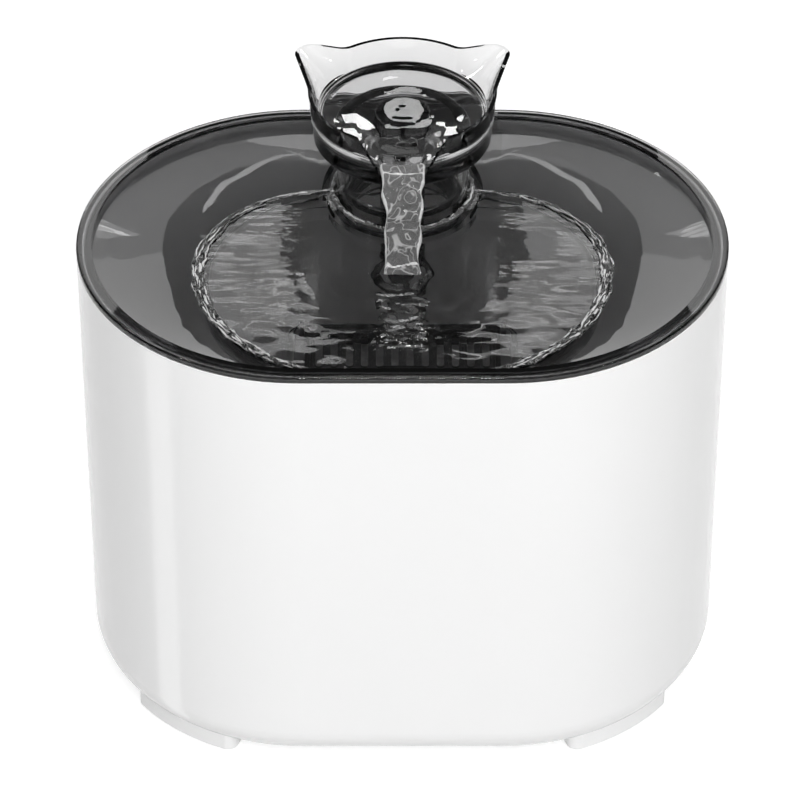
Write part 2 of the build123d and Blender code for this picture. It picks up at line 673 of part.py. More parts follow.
def cartridge_opening():
    """The stepped opening in the pool's floor that the cartridge drops into."""
    seat = cartridge_block(-LOOSE, FLANGE_BASE, POOL_FLOOR + LID_LIFT + LID_THICKNESS)
    return seat + cartridge_block(CARTRIDGE_LEDGE, FLANGE_BASE - TRAY_THICKNESS - OVERCUT, POOL_FLOOR)


def make_filter_basket():
    wall_inset = CARTRIDGE_LEDGE + LOOSE
    basket = cartridge_block(0, FLANGE_BASE, POOL_FLOOR)
    basket += cartridge_block(wall_inset, CARTRIDGE_BASE, FLANGE_BASE)
    inside = wall_inset + CARTRIDGE_WALL
    basket -= cartridge_block(inside, CARTRIDGE_BASE + CARTRIDGE_WALL, POOL_FLOOR + OVERCUT)
    slot_y0 = CARTRIDGE_Y0 + inside + BASKET_SLOT_MARGIN
    slot_y1 = CARTRIDGE_Y1 - inside - BASKET_SLOT_MARGIN
    slot_z0 = CARTRIDGE_BASE - OVERCUT
    slot_z1 = CARTRIDGE_BASE + CARTRIDGE_WALL + OVERCUT
    for x in repeats(BASKET_SLOT_PITCH, CARTRIDGE_WIDTH - 2 * inside):
        half = BASKET_SLOT_WIDTH / 2
        basket -= rounded_block(x - half, x + half, slot_y0, slot_y1, slot_z0, slot_z1, half * 0.95)
    outer = CARTRIDGE_WIDTH / 2 - HINGE_EAR_EDGE
    reach = HINGE_PIN_RADIUS + HINGE_EAR_WALL
    for side in (-1, 1):
        x0, x1 = sorted((side * outer, side * (outer - HINGE_EAR)))
        ear = block(x0, x1, HINGE_Y - reach, HINGE_Y + reach, POOL_FLOOR - CARTRIDGE_FLANGE / 2, HINGE_Z)
        ear += rod(reach, x0, x1, HINGE_Y, HINGE_Z)
        basket += ear
        basket -= rod(HINGE_PIN_RADIUS + RUNNING, x0 - OVERCUT, x1 + OVERCUT, HINGE_Y, HINGE_Z)
    return basket


def make_filter_lid():
    """A slotted strainer with a rod along its rear edge, whose ends are the hinge pins."""
    pin_end = CARTRIDGE_WIDTH / 2 - HINGE_EAR_EDGE - SLIDING
    half = pin_end - HINGE_EAR - SLIDING
    y0 = CARTRIDGE_Y0 + LID_FRONT_MARGIN
    z0 = POOL_FLOOR + LID_LIFT
    z1 = z0 + LID_THICKNESS
    lid = rounded_block(-half, half, y0, HINGE_Y, z0, z1, LID_CORNER)
    lid += block(-half, half, HINGE_Y - 2 * LID_CORNER, HINGE_Y, z0, z1)
    lid += rod(HINGE_ROD_RADIUS, -half, half, HINGE_Y, HINGE_Z)
    lid += rod(HINGE_PIN_RADIUS, -pin_end, pin_end, HINGE_Y, HINGE_Z)
    tab = LID_TAB_WIDTH / 2
    tab_y1 = y0 + LID_TAB_THICKNESS
    lid += rounded_block(-tab, tab, y0, tab_y1, z0, z1 + LID_TAB_HEIGHT, LID_TAB_THICKNESS * 0.45)
    slot_y0 = y0 + LID_SLOT_MARGIN
    slot_y1 = HINGE_Y - LID_SLOT_MARGIN
    width = LID_SLOT_WIDTH / 2
    for x in repeats(LID_SLOT_PITCH, 2 * (half - LID_CORNER)):
        lid -= rounded_block(x - width, x + width, slot_y0, slot_y1, z0 - OVERCUT, z1 + OVERCUT, width * 0.95)
    return lid


def filter_layer(z0, z1):
    """A filter layer that fills the basket's plan with a small gap."""
    return cartridge_block(CARTRIDGE_LEDGE + LOOSE + CARTRIDGE_WALL + PAD_CLEARANCE, z0, z1)


def make_carbon_pack():
    foot = CARTRIDGE_BASE + CARTRIDGE_WALL
    return filter_layer(foot, foot + CARBON_THICKNESS)


def make_filter_felt():
    foot = CARTRIDGE_BASE + CARTRIDGE_WALL + CARBON_THICKNESS
    return filter_layer(foot, foot + FELT_THICKNESS)


# ================================================================ pump
CAN_START = PUMP_X0 + CHAMBER_DEPTH
CAN_BORE_END = CAN_START + ROTOR_BORE_DEPTH
CAN_END = CAN_BORE_END + ROTOR_CAN_WALL
CAP_X0 = PUMP_X1 - END_CAP_THICKNESS
YOKE_X0 = CAN_END + YOKE_GAP
YOKE_X1 = YOKE_X0 + YOKE_THICKNESS
BUSH_X0 = PUMP_X0 + BUSH_SETBACK
COVER_X0 = PUMP_X0 - COVER_LENGTH
COVER_X1 = PUMP_X0 + COVER_OVERLAP


def pump_block(x0, x1, inset):
    """A length of the pump's rounded-square outline, which lies along X, inset all round."""
    plan = RectangleRounded(PUMP_HEIGHT - 2 * inset, PUMP_WIDTH - 2 * inset, max(PUMP_CORNER - inset, 1.0))
    lying = Rot(0, 90, 0) * extrude(plan, x1 - x0)
    return Pos(x0, SPOUT_Y, PUMP_AXIS) * lying


def axle(radius, x0, x1):
    """A cylinder on the rotor's axis."""
    return rod(radius, x0, x1, SPOUT_Y, PUMP_AXIS)


def make_pump_housing():
    spigot_inset = COVER_WALL + SLIDING
    housing = pump_block(COVER_X1, PUMP_X1, 0) + pump_block(PUMP_X0, COVER_X1, spigot_inset)
    stator_room = pump_block(CAN_START + CHAMBER_BACK_WALL, PUMP_X1 + OVERCUT, STATOR_CAVITY_WALL)
    stator_room -= axle(ROTOR_BORE_RADIUS + ROTOR_CAN_WALL, CAN_START, CAN_END)
    housing -= stator_room
    housing -= axle(CHAMBER_RADIUS, PUMP_X0 - OVERCUT, CAN_START)
    housing -= axle(ROTOR_BORE_RADIUS, CAN_START - OVERCUT, CAN_BORE_END)
    nozzle_radius = RISER_RADIUS - RISER_WALL - RUNNING
    housing += disc(nozzle_radius, PUMP_TOP - SUNK, PUMP_TOP + NOZZLE_HEIGHT, 0, SPOUT_Y)
    housing -= disc(OUTLET_RADIUS, PUMP_AXIS, PUMP_TOP + NOZZLE_HEIGHT + OVERCUT, 0, SPOUT_Y)
    for x, y in suction_places():
        housing -= disc(SUCTION_NECK_RADIUS + RUNNING, PUMP_BASE - OVERCUT, PUMP_BASE + SUCTION_PLUG, x, y)
    return housing


def make_pump_end_cap():
    cap = pump_block(CAP_X0, PUMP_X1, STATOR_CAVITY_WALL + RUNNING)
    return cap - axle(GLAND_STUB_RADIUS, CAP_X0 - OVERCUT, PUMP_X1 + OVERCUT)


def make_stator_core():
    """A U of laminated iron that holds the rotor's can between its legs."""
    inner = ROTOR_BORE_RADIUS + ROTOR_CAN_WALL + LOOSE
    outer = inner + CORE_THICKNESS
    z0 = PUMP_AXIS - CORE_HEIGHT / 2
    z1 = PUMP_AXIS + CORE_HEIGHT / 2
    core = block(YOKE_X0, YOKE_X1, SPOUT_Y - outer, SPOUT_Y + outer, z0, z1)
    for side in (-1, 1):
        y0, y1 = sorted((SPOUT_Y + side * inner, SPOUT_Y + side * outer))
        core += block(CAN_START + CORE_SETBACK, YOKE_X1, y0, y1, z0, z1)
    return core


def make_stator_coil():
    """The winding round the core's yoke."""
    y0 = SPOUT_Y - COIL_WIDTH / 2
    y1 = SPOUT_Y + COIL_WIDTH / 2
    half = CORE_HEIGHT / 2
    outer = half + COIL_THICKNESS
    coil = block(YOKE_X0 - COIL_SIDE, YOKE_X1 + COIL_SIDE, y0, y1, PUMP_AXIS - outer, PUMP_AXIS + outer)
    coil = fillet(coil.edges().filter_by(Axis.Y), COIL_ROUNDING)
    return coil - block(YOKE_X0, YOKE_X1, y0 - OVERCUT, y1 + OVERCUT, PUMP_AXIS - half, PUMP_AXIS + half)


def make_pump_cable_gland():
    tip = PUMP_X1 + GLAND_LENGTH
    boot = Rot(0, 90, 0) * Cone(
        GLAND_RADIUS, GLAND_TIP_RADIUS, GLAND_LENGTH, align=(Align.CENTER, Align.CENTER, Align.MIN)
    )
    gland = Pos(PUMP_X1, SPOUT_Y, PUMP_AXIS) * boot
    gland += axle(GLAND_STUB_RADIUS, CAP_X0, PUMP_X1)
    return gland - axle(LEAD_RADIUS, tip - LEAD_ENTRY_DEPTH, tip + OVERCUT)


def make_volute_plate():
    """The plate over the impeller, with the intake eye and a spider that holds the shaft's front bush."""
    plate = axle(CHAMBER_RADIUS - RUNNING, PUMP_X0, PUMP_X0 + VOLUTE_PLATE)
    plate -= axle(EYE_RADIUS, PUMP_X0 - OVERCUT, PUMP_X0 + VOLUTE_PLATE + OVERCUT)
    hub_end = BUSH_X0 + BUSH_LENGTH
    foot = SPIDER_HUB_RADIUS - SUNK
    end = EYE_RADIUS + SUNK
    plate += axle(SPIDER_HUB_RADIUS, PUMP_X0, hub_end)
    for i in range(SPIDER_ARMS):
        arm = block(0, VOLUTE_PLATE, -SPIDER_ARM / 2, SPIDER_ARM / 2, foot, end)
        plate += Pos(PUMP_X0, SPOUT_Y, PUMP_AXIS) * Rot(i * 360 / SPIDER_ARMS, 0, 0) * arm
    return plate - axle(BUSH_RADIUS, BUSH_X0, hub_end + OVERCUT)


def make_shaft_bushes():
    bushes = []
    for x0 in (BUSH_X0, CAN_BORE_END - BUSH_LENGTH):
        x1 = x0 + BUSH_LENGTH
        bushes.append(axle(BUSH_RADIUS, x0, x1) - axle(SHAFT_RADIUS, x0 - OVERCUT, x1 + OVERCUT))
    return Compound(children=bushes)


def make_pump_shaft():
    return axle(SHAFT_RADIUS, BUSH_X0, CAN_BORE_END)


BLADE_X0 = BUSH_X0 + BUSH_LENGTH + AXIAL_PLAY
MAGNET_X0 = CAN_BORE_END - BUSH_LENGTH - AXIAL_PLAY - MAGNET_LENGTH


def make_impeller():
    wheel = axle(HUB_RADIUS, BLADE_X0, MAGNET_X0)
    for i in range(BLADE_COUNT):
        blade = block(0, BLADE_WIDTH, -BLADE_THICKNESS / 2, BLADE_THICKNESS / 2, HUB_RADIUS - SUNK, BLADE_RADIUS)
        wheel += Pos(BLADE_X0, SPOUT_Y, PUMP_AXIS) * Rot(i * 360 / BLADE_COUNT, 0, 0) * blade
    return wheel - axle(SHAFT_RADIUS + RUNNING, BLADE_X0 - OVERCUT, MAGNET_X0 + OVERCUT)


def make_rotor_magnet():
    end = MAGNET_X0 + MAGNET_LENGTH
    magnet = axle(MAGNET_RADIUS, MAGNET_X0, end)
    magnet = chamfer(magnet.edges().filter_by(GeomType.CIRCLE), MAGNET_CHAMFER)
    return magnet - axle(SHAFT_RADIUS + RUNNING, MAGNET_X0 - OVERCUT, end + OVERCUT)


def make_pump_cover():
    cover = pump_block(COVER_X0, COVER_X1, 0)
    cover = fillet(cover.edges().group_by(Axis.X)[0], PUMP_TOP_ROUNDING)
    face_x0 = COVER_X0 - OVERCUT
    face_x1 = COVER_X0 + COVER_WALL + OVERCUT
    cover -= pump_block(COVER_X0 + COVER_WALL, COVER_X1 + OVERCUT, COVER_WALL)
    cover -= axle(DIAL_PIN_RADIUS + RUNNING, face_x0, face_x1)
    half = COVER_SLOT_WIDTH / 2
    span = PUMP_HEIGHT / 2 - COVER_SLOT_MARGIN / 2
    gap = DIAL_PIN_RADIUS + COVER_HUB_MARGIN
    for y in repeats(COVER_SLOT_PITCH, PUMP_WIDTH - COVER_SLOT_MARGIN):
        y0 = SPOUT_Y + y - half
        y1 = SPOUT_Y + y + half
        for z0, z1 in ((-span, -gap), (gap, span)):
            cover -= block(face_x0, face_x1, y0, y1, PUMP_AXIS + z0, PUMP_AXIS + z1)
    return cover


def make_pump_sponge():
    x1 = PUMP_X0 - SPONGE_GAP
    return pump_block(x1 - SPONGE_THICKNESS, x1, COVER_WALL + PAD_CLEARANCE)


def make_flow_dial():
    """A knurled dial whose pin turns in the cover's face."""
    face = COVER_X0 - SLIDING
    dial = axle(DIAL_RADIUS, face - DIAL_THICKNESS, face)
    knurl_height = DIAL_RADIUS + DIAL_KNURL_RADIUS * 0.4
    groove = rod(DIAL_KNURL_RADIUS, -OVERCUT, DIAL_THICKNESS + OVERCUT, 0, knurl_height)
    for i in range(DIAL_KNURLS):
        turned = Rot(i * 360 / DIAL_KNURLS, 0, 0) * groove
        dial -= Pos(face - DIAL_THICKNESS, SPOUT_Y, PUMP_AXIS) * turned
    half = DIAL_POINTER_WIDTH / 2
    pointer = block(-DIAL_POINTER_HEIGHT, 0, -half, half, 0, DIAL_RADIUS - DIAL_POINTER_SETBACK)
    dial += Pos(face - DIAL_THICKNESS, SPOUT_Y, PUMP_AXIS) * pointer
    return dial + axle(DIAL_PIN_RADIUS, face, COVER_X0 + COVER_WALL + DIAL_PIN_PROUD)


def make_suction_cups():
    top = PUMP_BASE + SUCTION_PLUG
    profile = section(
        [
            (0, TANK_INSIDE + SUCTION_HEIGHT * 0.4),
            (SUCTION_RADIUS * 0.6, TANK_INSIDE + SUCTION_HEIGHT * 0.25),
            (SUCTION_RADIUS * 0.9, TANK_INSIDE),
            (SUCTION_RADIUS, TANK_INSIDE),
            (SUCTION_RADIUS, TANK_INSIDE + SUCTION_EDGE),
            (SUCTION_NECK_RADIUS, PUMP_BASE - SUCTION_NECK_HEIGHT),
            (SUCTION_NECK_RADIUS, top),
            (0, top),
        ]
    )
    cup = revolve(profile, Axis.Z)
    return Compound(children=[Pos(x, y, 0) * cup for x, y in suction_places()])


# ================================================================ save
MAKERS = {
    "tank_shell": make_tank_shell,
    "foot_pads": make_foot_pads,
    "cable_grommet": make_cable_grommet,
    "tray": make_tray,
    "riser_sleeve": make_riser_sleeve,
    "spout_cup": make_spout_cup,
    "flow_spreader": make_flow_spreader,
    "riser_tube": make_riser_tube,
    "riser_seal": make_riser_seal,
    "filter_basket": make_filter_basket,
    "filter_lid": make_filter_lid,
    "carbon_pack": make_carbon_pack,
    "filter_felt": make_filter_felt,
    "pump_housing": make_pump_housing,
    "pump_end_cap": make_pump_end_cap,
    "stator_core": make_stator_core,
    "stator_coil": make_stator_coil,
    "pump_cable_gland": make_pump_cable_gland,
    "volute_plate": make_volute_plate,
    "shaft_bushes": make_shaft_bushes,
    "pump_shaft": make_pump_shaft,
    "impeller": make_impeller,
    "rotor_magnet": make_rotor_magnet,
    "pump_cover": make_pump_cover,
    "pump_sponge": make_pump_sponge,
    "flow_dial": make_flow_dial,
    "suction_cups": make_suction_cups,
}

os.makedirs("parts", exist_ok=True)
for name, make in MAKERS.items():
    export_step(make(), f"parts/{name}.step")
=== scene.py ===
"""Pet water fountain: finishes, water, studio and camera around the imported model. Lengths are in metres."""
import bmesh
import bpy
import math
import random
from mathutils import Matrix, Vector, noise


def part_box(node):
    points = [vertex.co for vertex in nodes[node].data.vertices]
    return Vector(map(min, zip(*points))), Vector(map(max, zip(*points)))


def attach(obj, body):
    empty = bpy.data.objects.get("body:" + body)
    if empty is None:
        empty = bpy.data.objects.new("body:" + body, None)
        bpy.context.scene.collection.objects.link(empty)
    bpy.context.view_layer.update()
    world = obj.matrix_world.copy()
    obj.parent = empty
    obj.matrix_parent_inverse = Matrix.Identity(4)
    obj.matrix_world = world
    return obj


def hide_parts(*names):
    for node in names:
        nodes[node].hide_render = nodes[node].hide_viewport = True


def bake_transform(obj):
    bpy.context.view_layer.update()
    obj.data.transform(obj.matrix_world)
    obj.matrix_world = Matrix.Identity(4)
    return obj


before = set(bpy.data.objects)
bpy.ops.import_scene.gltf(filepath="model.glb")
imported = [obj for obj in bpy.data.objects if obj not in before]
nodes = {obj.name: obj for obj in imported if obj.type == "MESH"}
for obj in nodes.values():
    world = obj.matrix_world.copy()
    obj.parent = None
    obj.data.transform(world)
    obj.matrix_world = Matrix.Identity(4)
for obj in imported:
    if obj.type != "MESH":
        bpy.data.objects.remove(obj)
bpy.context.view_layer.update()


# ------------ studio camera
# A long lens looks down at the drinking side from 38 degrees up. The tank's straight front runs level
# across the picture, and the object sits a hair right of its middle.
view_aim = Vector((0.0, 0.0, 0.0942))
view_distance = 1.8
view_elevation = math.radians(38.36)
camera_data = bpy.data.cameras.new("studio_camera")
camera_data.sensor_width = 36.0
camera_data.lens = 258.7
camera_data.shift_x = -0.0031
camera = bpy.data.objects.new("studio_camera", camera_data)
view_back = Vector((0, -math.cos(view_elevation), math.sin(view_elevation)))
camera.location = view_aim + view_back * view_distance
camera.rotation_euler = (math.pi / 2 - view_elevation, 0, 0)
bpy.context.scene.collection.objects.link(camera)
bpy.context.scene.camera = camera
bpy.context.scene.view_settings.view_transform = "Standard"


# ------------ studio floor and world
# A wide flat white floor. It takes the object's soft shadow, and reads as paper white where nothing
# shades it.
def new_material(name):
    material = bpy.data.materials.new(name)
    material.use_nodes = True
    material.node_tree.nodes.clear()
    return material, material.node_tree


def node(tree, kind, **settings):
    """A new node. A setting names a property, an input, or an input's number after at_."""
    made = tree.nodes.new(kind if kind.startswith("NodeGroup") else "ShaderNode" + kind)
    for key, value in settings.items():
        if hasattr(made, key):
            setattr(made, key, value)
        elif key.startswith("at_"):
            made.inputs[int(key[3:])].default_value = value
        else:
            made.inputs[key.replace("_", " ")].default_value = value
    return made


def wire(tree, *runs):
    """Joins an output of one node to an input of another, once for each run."""
    for source, output, target, socket in runs:
        tree.links.new(source.outputs[output], target.inputs[socket])


def surface_from(tree, shader):
    """Puts the shader out as the material's surface."""
    out = node(tree, "OutputMaterial")
    wire(tree, (shader, 0, out, "Surface"))
    return out


def paint(piece, *materials):
    """Gives the piece its materials, in place of any it has."""
    piece.data.materials.clear()
    for material in materials:
        piece.data.materials.append(material)


def mesh_piece(name, vertices, faces):
    """A smooth-shaded mesh object from its vertices and faces."""
    data = bpy.data.meshes.new(name)
    data.from_pydata(vertices, [], faces)
    data.validate()
    made = bpy.data.objects.new(name, data)
    bpy.context.scene.collection.objects.link(made)
    for polygon in data.polygons:
        polygon.use_smooth = True
    return made


floor_reach = 3.0
floor_corners = [(x * floor_reach, y * floor_reach, 0) for x, y in ((-1, -1), (1, -1), (1, 1), (-1, 1))]
floor = mesh_piece("studio_floor", floor_corners, [(0, 1, 2, 3)])
floor_colour = 0.62
floor_glow = 0.62


def any_ray(tree, kinds):
    """1 where the ray is of one of the given kinds, otherwise 0."""
    rays = node(tree, "LightPath")
    found = rays.outputs[kinds[0]]
    for kind in kinds[1:]:
        either = node(tree, "Math", operation="MAXIMUM")
        tree.links.new(found, either.inputs[0])
        wire(tree, (rays, kind, either, 1))
        found = either.outputs[0]
    return found


floor_paint, tree = new_material("studio_floor_white")
paper = node(tree, "BsdfDiffuse", Color=(*[floor_colour] * 3, 1))
glow = node(tree, "Emission", Color=(1, 1, 1, 1))
seen = node(tree, "Math", operation="MULTIPLY", at_1=floor_glow)
tree.links.new(any_ray(tree, ("Is Camera Ray", "Is Glossy Ray", "Is Transmission Ray")), seen.inputs[0])
both = node(tree, "AddShader")
wire(tree, (seen, 0, glow, "Strength"), (paper, 0, both, 0), (glow, 0, both, 1))
surface_from(tree, both)
paint(floor, floor_paint)

# What a ray finds in the sky depends on its kind. The camera sees white. Light for matt faces comes from
# the dim room, or from the brighter tank light where it passes through clear plastic. Mirrors find a dark
# ceiling with a glow overhead, and clear plastic finds it paler towards the horizon.
room_light = 0.30
tank_light = 1.10
dark_ceiling = 0.08
edge_light = 0.80
overhead_light = 1.7
world = bpy.data.worlds.new("studio_world")
bpy.context.scene.world = world
world.use_nodes = True
tree = world.node_tree
tree.nodes.clear()
rays = node(tree, "LightPath")
bounced = node(tree, "Math", operation="MINIMUM", at_1=1.0)
fill = node(tree, "MapRange", To_Min=room_light, To_Max=tank_light)
ceiling = node(tree, "MapRange")
way = node(tree, "TexCoord")
height = node(tree, "SeparateXYZ")
horizon = node(tree, "MapRange", From_Min=0.22, From_Max=0.42, To_Min=edge_light, To_Max=dark_ceiling)
low_glow = node(tree, "MapRange", From_Min=0.10, From_Max=0.30, To_Min=0.0, To_Max=dark_ceiling)
top_glow = node(tree, "MapRange", From_Min=0.84, From_Max=0.92, To_Max=overhead_light)
mirrored = node(tree, "Math", operation="MAXIMUM")
dark = node(tree, "MapRange")
level = node(tree, "MapRange", To_Max=1.0)
sky = node(tree, "Background", Color=(1, 1, 1, 1))
out = node(tree, "OutputWorld")
wire(tree, (way, "Generated", height, 0))
for by_height in (horizon, low_glow, top_glow):
    wire(tree, (height, 2, by_height, "Value"))
wire(
    tree,
    (rays, "Diffuse Depth", bounced, 0), (rays, "Is Transmission Ray", fill, "Value"),
    (low_glow, 0, mirrored, 0), (top_glow, 0, mirrored, 1), (mirrored, 0, dark, "To Min"),
    (horizon, 0, dark, "To Max"), (rays, "Is Transmission Ray", dark, "Value"),
    (dark, 0, ceiling, "To Min"), (bounced, 0, ceiling, "Value"), (fill, 0, ceiling, "To Max"),
    (rays, "Is Camera Ray", level, "Value"), (ceiling, 0, level, "To Min"),
    (level, 0, sky, "Strength"), (sky, 0, out, "Surface"),
)


# ------------ studio lamps
# A broad soft panel stands in front and a weak one behind. Three pale shapes and a thin ribbon of light
# hang behind the object on each side. Their mirror images draw the patch, slopes and streak on the dish.
lamp_distance = 2.0
lamp_target = Vector((0, 0, 0.15))


def way_to(azimuth, elevation):
    """A direction from its azimuth, from the rear towards the right, and its elevation, in degrees."""
    turn, rise = math.radians(azimuth), math.radians(elevation)
    return Vector((math.cos(rise) * math.sin(turn), math.cos(rise) * math.cos(turn), math.sin(rise)))


def lit_panel(name, place, away, width, height, brightness):
    """An evenly lit panel that shines back along the given direction."""
    light = bpy.data.lights.new(name, "AREA")
    light.shape = "RECTANGLE"
    light.size = width
    light.size_y = height
    light.energy = brightness * math.pi * width * height
    lamp = bpy.data.objects.new(name, light)
    lamp.location = place
    lamp.rotation_euler = (-away).to_track_quat("-Z", "Y").to_euler()
    bpy.context.scene.collection.objects.link(lamp)
    return lamp


def soft_box(name, azimuth, elevation, width, height, brightness):
    """A studio panel in the given direction, turned to the top of the tank."""
    away = way_to(azimuth, elevation)
    return lit_panel(name, lamp_target + away * lamp_distance, away, width, height, brightness)


def glow_only_in_mirrors(shape, brightness):
    """Makes a stage mesh glow, for mirror images alone."""
    material, tree = new_material(shape.name + "_glow")
    glow = node(tree, "Emission", Color=(1, 1, 1, 1), Strength=brightness)
    surface_from(tree, glow)
    paint(shape, material)
    for kind in ("camera", "diffuse", "transmission", "shadow", "volume_scatter"):
        setattr(shape, "visible_" + kind, False)


def mirrored_shape(name, seen_from, directions, distance, brightness):
    """A flat glowing shape whose corners lie in the given directions from the place that mirrors it."""
    corners = [seen_from + way_to(azimuth, elevation) * distance for azimuth, elevation in directions]
    glow_only_in_mirrors(mesh_piece(name, corners, [tuple(range(len(corners)))]), brightness)


def light_ribbon(name, target, directions, width, brightness):
    """A ribbon of light through the given azimuths and elevations, narrow at both ends."""
    points = [target + way_to(azimuth, elevation) * lamp_distance for azimuth, elevation in directions]
    vertices, steps = [], 24
    count = (len(points) - 1) * steps
    for i in range(count + 1):
        k = min(i // steps, len(points) - 2)
        share = i / steps - k
        before, after = points[max(k - 1, 0)], points[min(k + 2, len(points) - 1)]
        start, end = points[k], points[k + 1]
        leave, arrive = (end - before) * 0.5, (after - start) * 0.5
        place = start.lerp(end, 3 * share**2 - 2 * share**3)
        place += leave * (share**3 - 2 * share**2 + share) + arrive * (share**3 - share**2)
        across = (end - start).cross(place).normalized()
        half = 0.5 * width * math.sqrt(math.sin(math.pi * (i + 0.5) / (count + 1)))
        vertices += [place - across * half, place + across * half]
    faces = [(2 * i, 2 * i + 1, 2 * i + 3, 2 * i + 2) for i in range(count)]
    glow_only_in_mirrors(mesh_piece(name, vertices, faces), brightness)


key = soft_box("front_panel", 172, 34, 1.5, 1.3, 5.2)
rear_fill = soft_box("rear_fill", -14, 38, 1.5, 1.3, 1.0)
for lamp in (key, rear_fill):
    lamp.visible_glossy = False
    lamp.visible_transmission = False
# Azimuths and elevations as the right side's lamps have them. The left side's are their mirror image.
dish_streak = [(8.4, 44.9), (8.9, 47.1), (9.6, 50.7), (9.1, 52.9), (8.4, 56.6), (6.3, 59.9), (2.3, 62.4)]
pale_slope = [
    (14.0, 14.0), (32.0, 14.0), (48.0, 30.0), (52.0, 48.0), (40.0, 60.0), (4.5, 64.0),
    (3.0, 61.0), (6.0, 58.5), (10.5, 55.0), (11.9, 49.0), (11.2, 43.5), (9.4, 38.5),
]
far_slope = [
    (20.4, 49.0), (18.8, 55.4), (17.2, 57.4), (13.4, 61.0), (4.5, 63.2), (0, 65), (0, 76), (30, 72), (32, 52),
]
front_patch = [
    (14.6, 33.8), (13.4, 34.1), (11.7, 36.0), (9.9, 37.9), (9.2, 37.2), (8.3, 33.6),
    (8.0, 26.0), (7.4, 21.0), (6.0, 12.0), (17.0, 10.0), (17.0, 24.0),
]
layer_gap = 0.01
for side, word in ((-1, "left"), (1, "right")):
    slope_point = Vector((-side * 0.066, 0.035, 0.150))
    patch_point = Vector((-side * 0.080, -0.010, 0.149))
    streak, slope, far, patch = [
        [(side * azimuth, elevation) for azimuth, elevation in shape]
        for shape in (dish_streak, pale_slope, far_slope, front_patch)
    ]
    light_ribbon(word + "_inner_streak", slope_point, streak, 0.024, 4.0)
    mirrored_shape(word + "_dish_patch", patch_point, patch, lamp_distance, 2.1)
    mirrored_shape(word + "_dish_glow", slope_point, slope, lamp_distance + layer_gap, 1.3)
    mirrored_shape(word + "_slope_glow", slope_point, far, lamp_distance - layer_gap, 3.6)

# Small hard lamps show in mirror images only, as sparkle on the water and the clear plastic.
for azimuth, elevation in ((180, 52), (-118, 38), (122, 42), (-62, 50), (60, 46)):
    spark = soft_box(f"spark_{azimuth}", azimuth, elevation, 0.16, 0.16, 45.0)
    spark.visible_diffuse = False
    spark.visible_transmission = False


# Three small panels hang close behind the spout. The water in the cup mirrors them as bright spots.
mirror_way = Vector((0, math.cos(view_elevation), math.sin(view_elevation)))
cup_panel_reach = 0.09
cup_mirror_z = 0.1777
for name, x, y, width, height, brightness in (
    ("left_cup_panel", -0.0160, 0.034, 0.0075, 0.0085, 22.0),
    ("right_cup_panel", 0.0160, 0.034, 0.0075, 0.0085, 22.0),
    ("middle_cup_panel", 0.001, 0.0435, 0.0115, 0.0150, 9.0),
):
    place = Vector((x, y, cup_mirror_z)) + mirror_way * cup_panel_reach
    panel = lit_panel(name, place, mirror_way, width, height, brightness)
    panel.visible_transmission = False


# Behind the spout hangs a pair of pale cards with brighter scraps on them, for the pool to mirror. They
# are laid out across and down the way in which still water looks from the camera.
card_down = Vector((0, math.sin(view_elevation), -math.cos(view_elevation)))
crease_z = 0.147
card_outline = [
    (48, 42), (50, 19), (45, 9), (41, 3), (32, -6), (22, -13), (17, -18),
    (43, -24), (64, -35), (81, -27), (88, -6), (88, 26), (71, 43),
]


def pool_card(name, outlines, brightness, reach):
    """Flat glowing shapes on one plane, from outlines in millimetres."""
    vertices, faces = [], []
    for outline in outlines:
        faces.append(tuple(range(len(vertices), len(vertices) + len(outline))))
        for x, down in outline:
            vertices.append(Vector((x / 1000, 0, crease_z)) + mirror_way * reach + card_down * (down / 1000))
    glow_only_in_mirrors(mesh_piece(name, vertices, faces), brightness)


def scrap(x, down, half_width, half_height, layer):
    """A ragged long oval, in millimetres."""
    outline, sides, ragged = [], 20, 0.45
    for k in range(sides):
        angle = 2 * math.pi * k / sides
        reach = 1 + ragged * noise.noise(Vector((1.7 * math.cos(angle), 1.7 * math.sin(angle), layer)))
        aside, below = half_width * reach * math.cos(angle), half_height * reach * math.sin(angle)
        outline.append((x + aside, down + below))
    return outline


card_reach, scrap_reach, faint_scrap_reach = 0.560, 0.555, 0.550
scrap_seed = 20
scraps_a_side = 26
bright_scraps = 12
card_middle = 9
card_inner_edge = 47
card_outer_edge = 82
for side, word in ((-1, "left"), (1, "right")):
    chance = random.Random(scrap_seed + side)
    pool_card(word + "_pool_card", [[(side * x, down) for x, down in card_outline]], 2.6, card_reach)
    scraps = []
    for k in range(scraps_a_side):
        down = chance.uniform(-22, 39)
        inner = card_inner_edge + min(0.0, down - card_middle)
        half_width = chance.uniform(4, 13)
        x = min(card_outer_edge - half_width, inner + chance.uniform(-4, 34) + 0.6 * half_width)
        scraps.append(scrap(side * x, down, half_width, chance.uniform(1.0, 2.6), 5.0 * k + side))
    pool_card(word + "_pool_scraps", scraps[:bright_scraps], 7.5, scrap_reach)
    pool_card(word + "_pool_faint_scraps", scraps[bright_scraps:], 4.6, faint_scrap_reach)


card_thickness = 0.0004


def floor_card(name, corners, brightness):
    """A pale card on the floor that only the polish of the shell shows."""
    vertices = [(x, y, card_thickness) for x, y in corners]
    glow_only_in_mirrors(mesh_piece(name, vertices, [tuple(range(len(corners)))]), brightness)


front_corners = [(-0.058, -0.064), (-0.30, -0.241), (-0.30, -0.60)]
front_corners += [(-x, y) for x, y in reversed(front_corners)]
floor_card("front_card", front_corners, 1.2)
floor_card("left_card", [(-0.079, -0.050), (-0.279, -0.058), (-0.262, -0.117), (-0.072, -0.056)], 2.4)


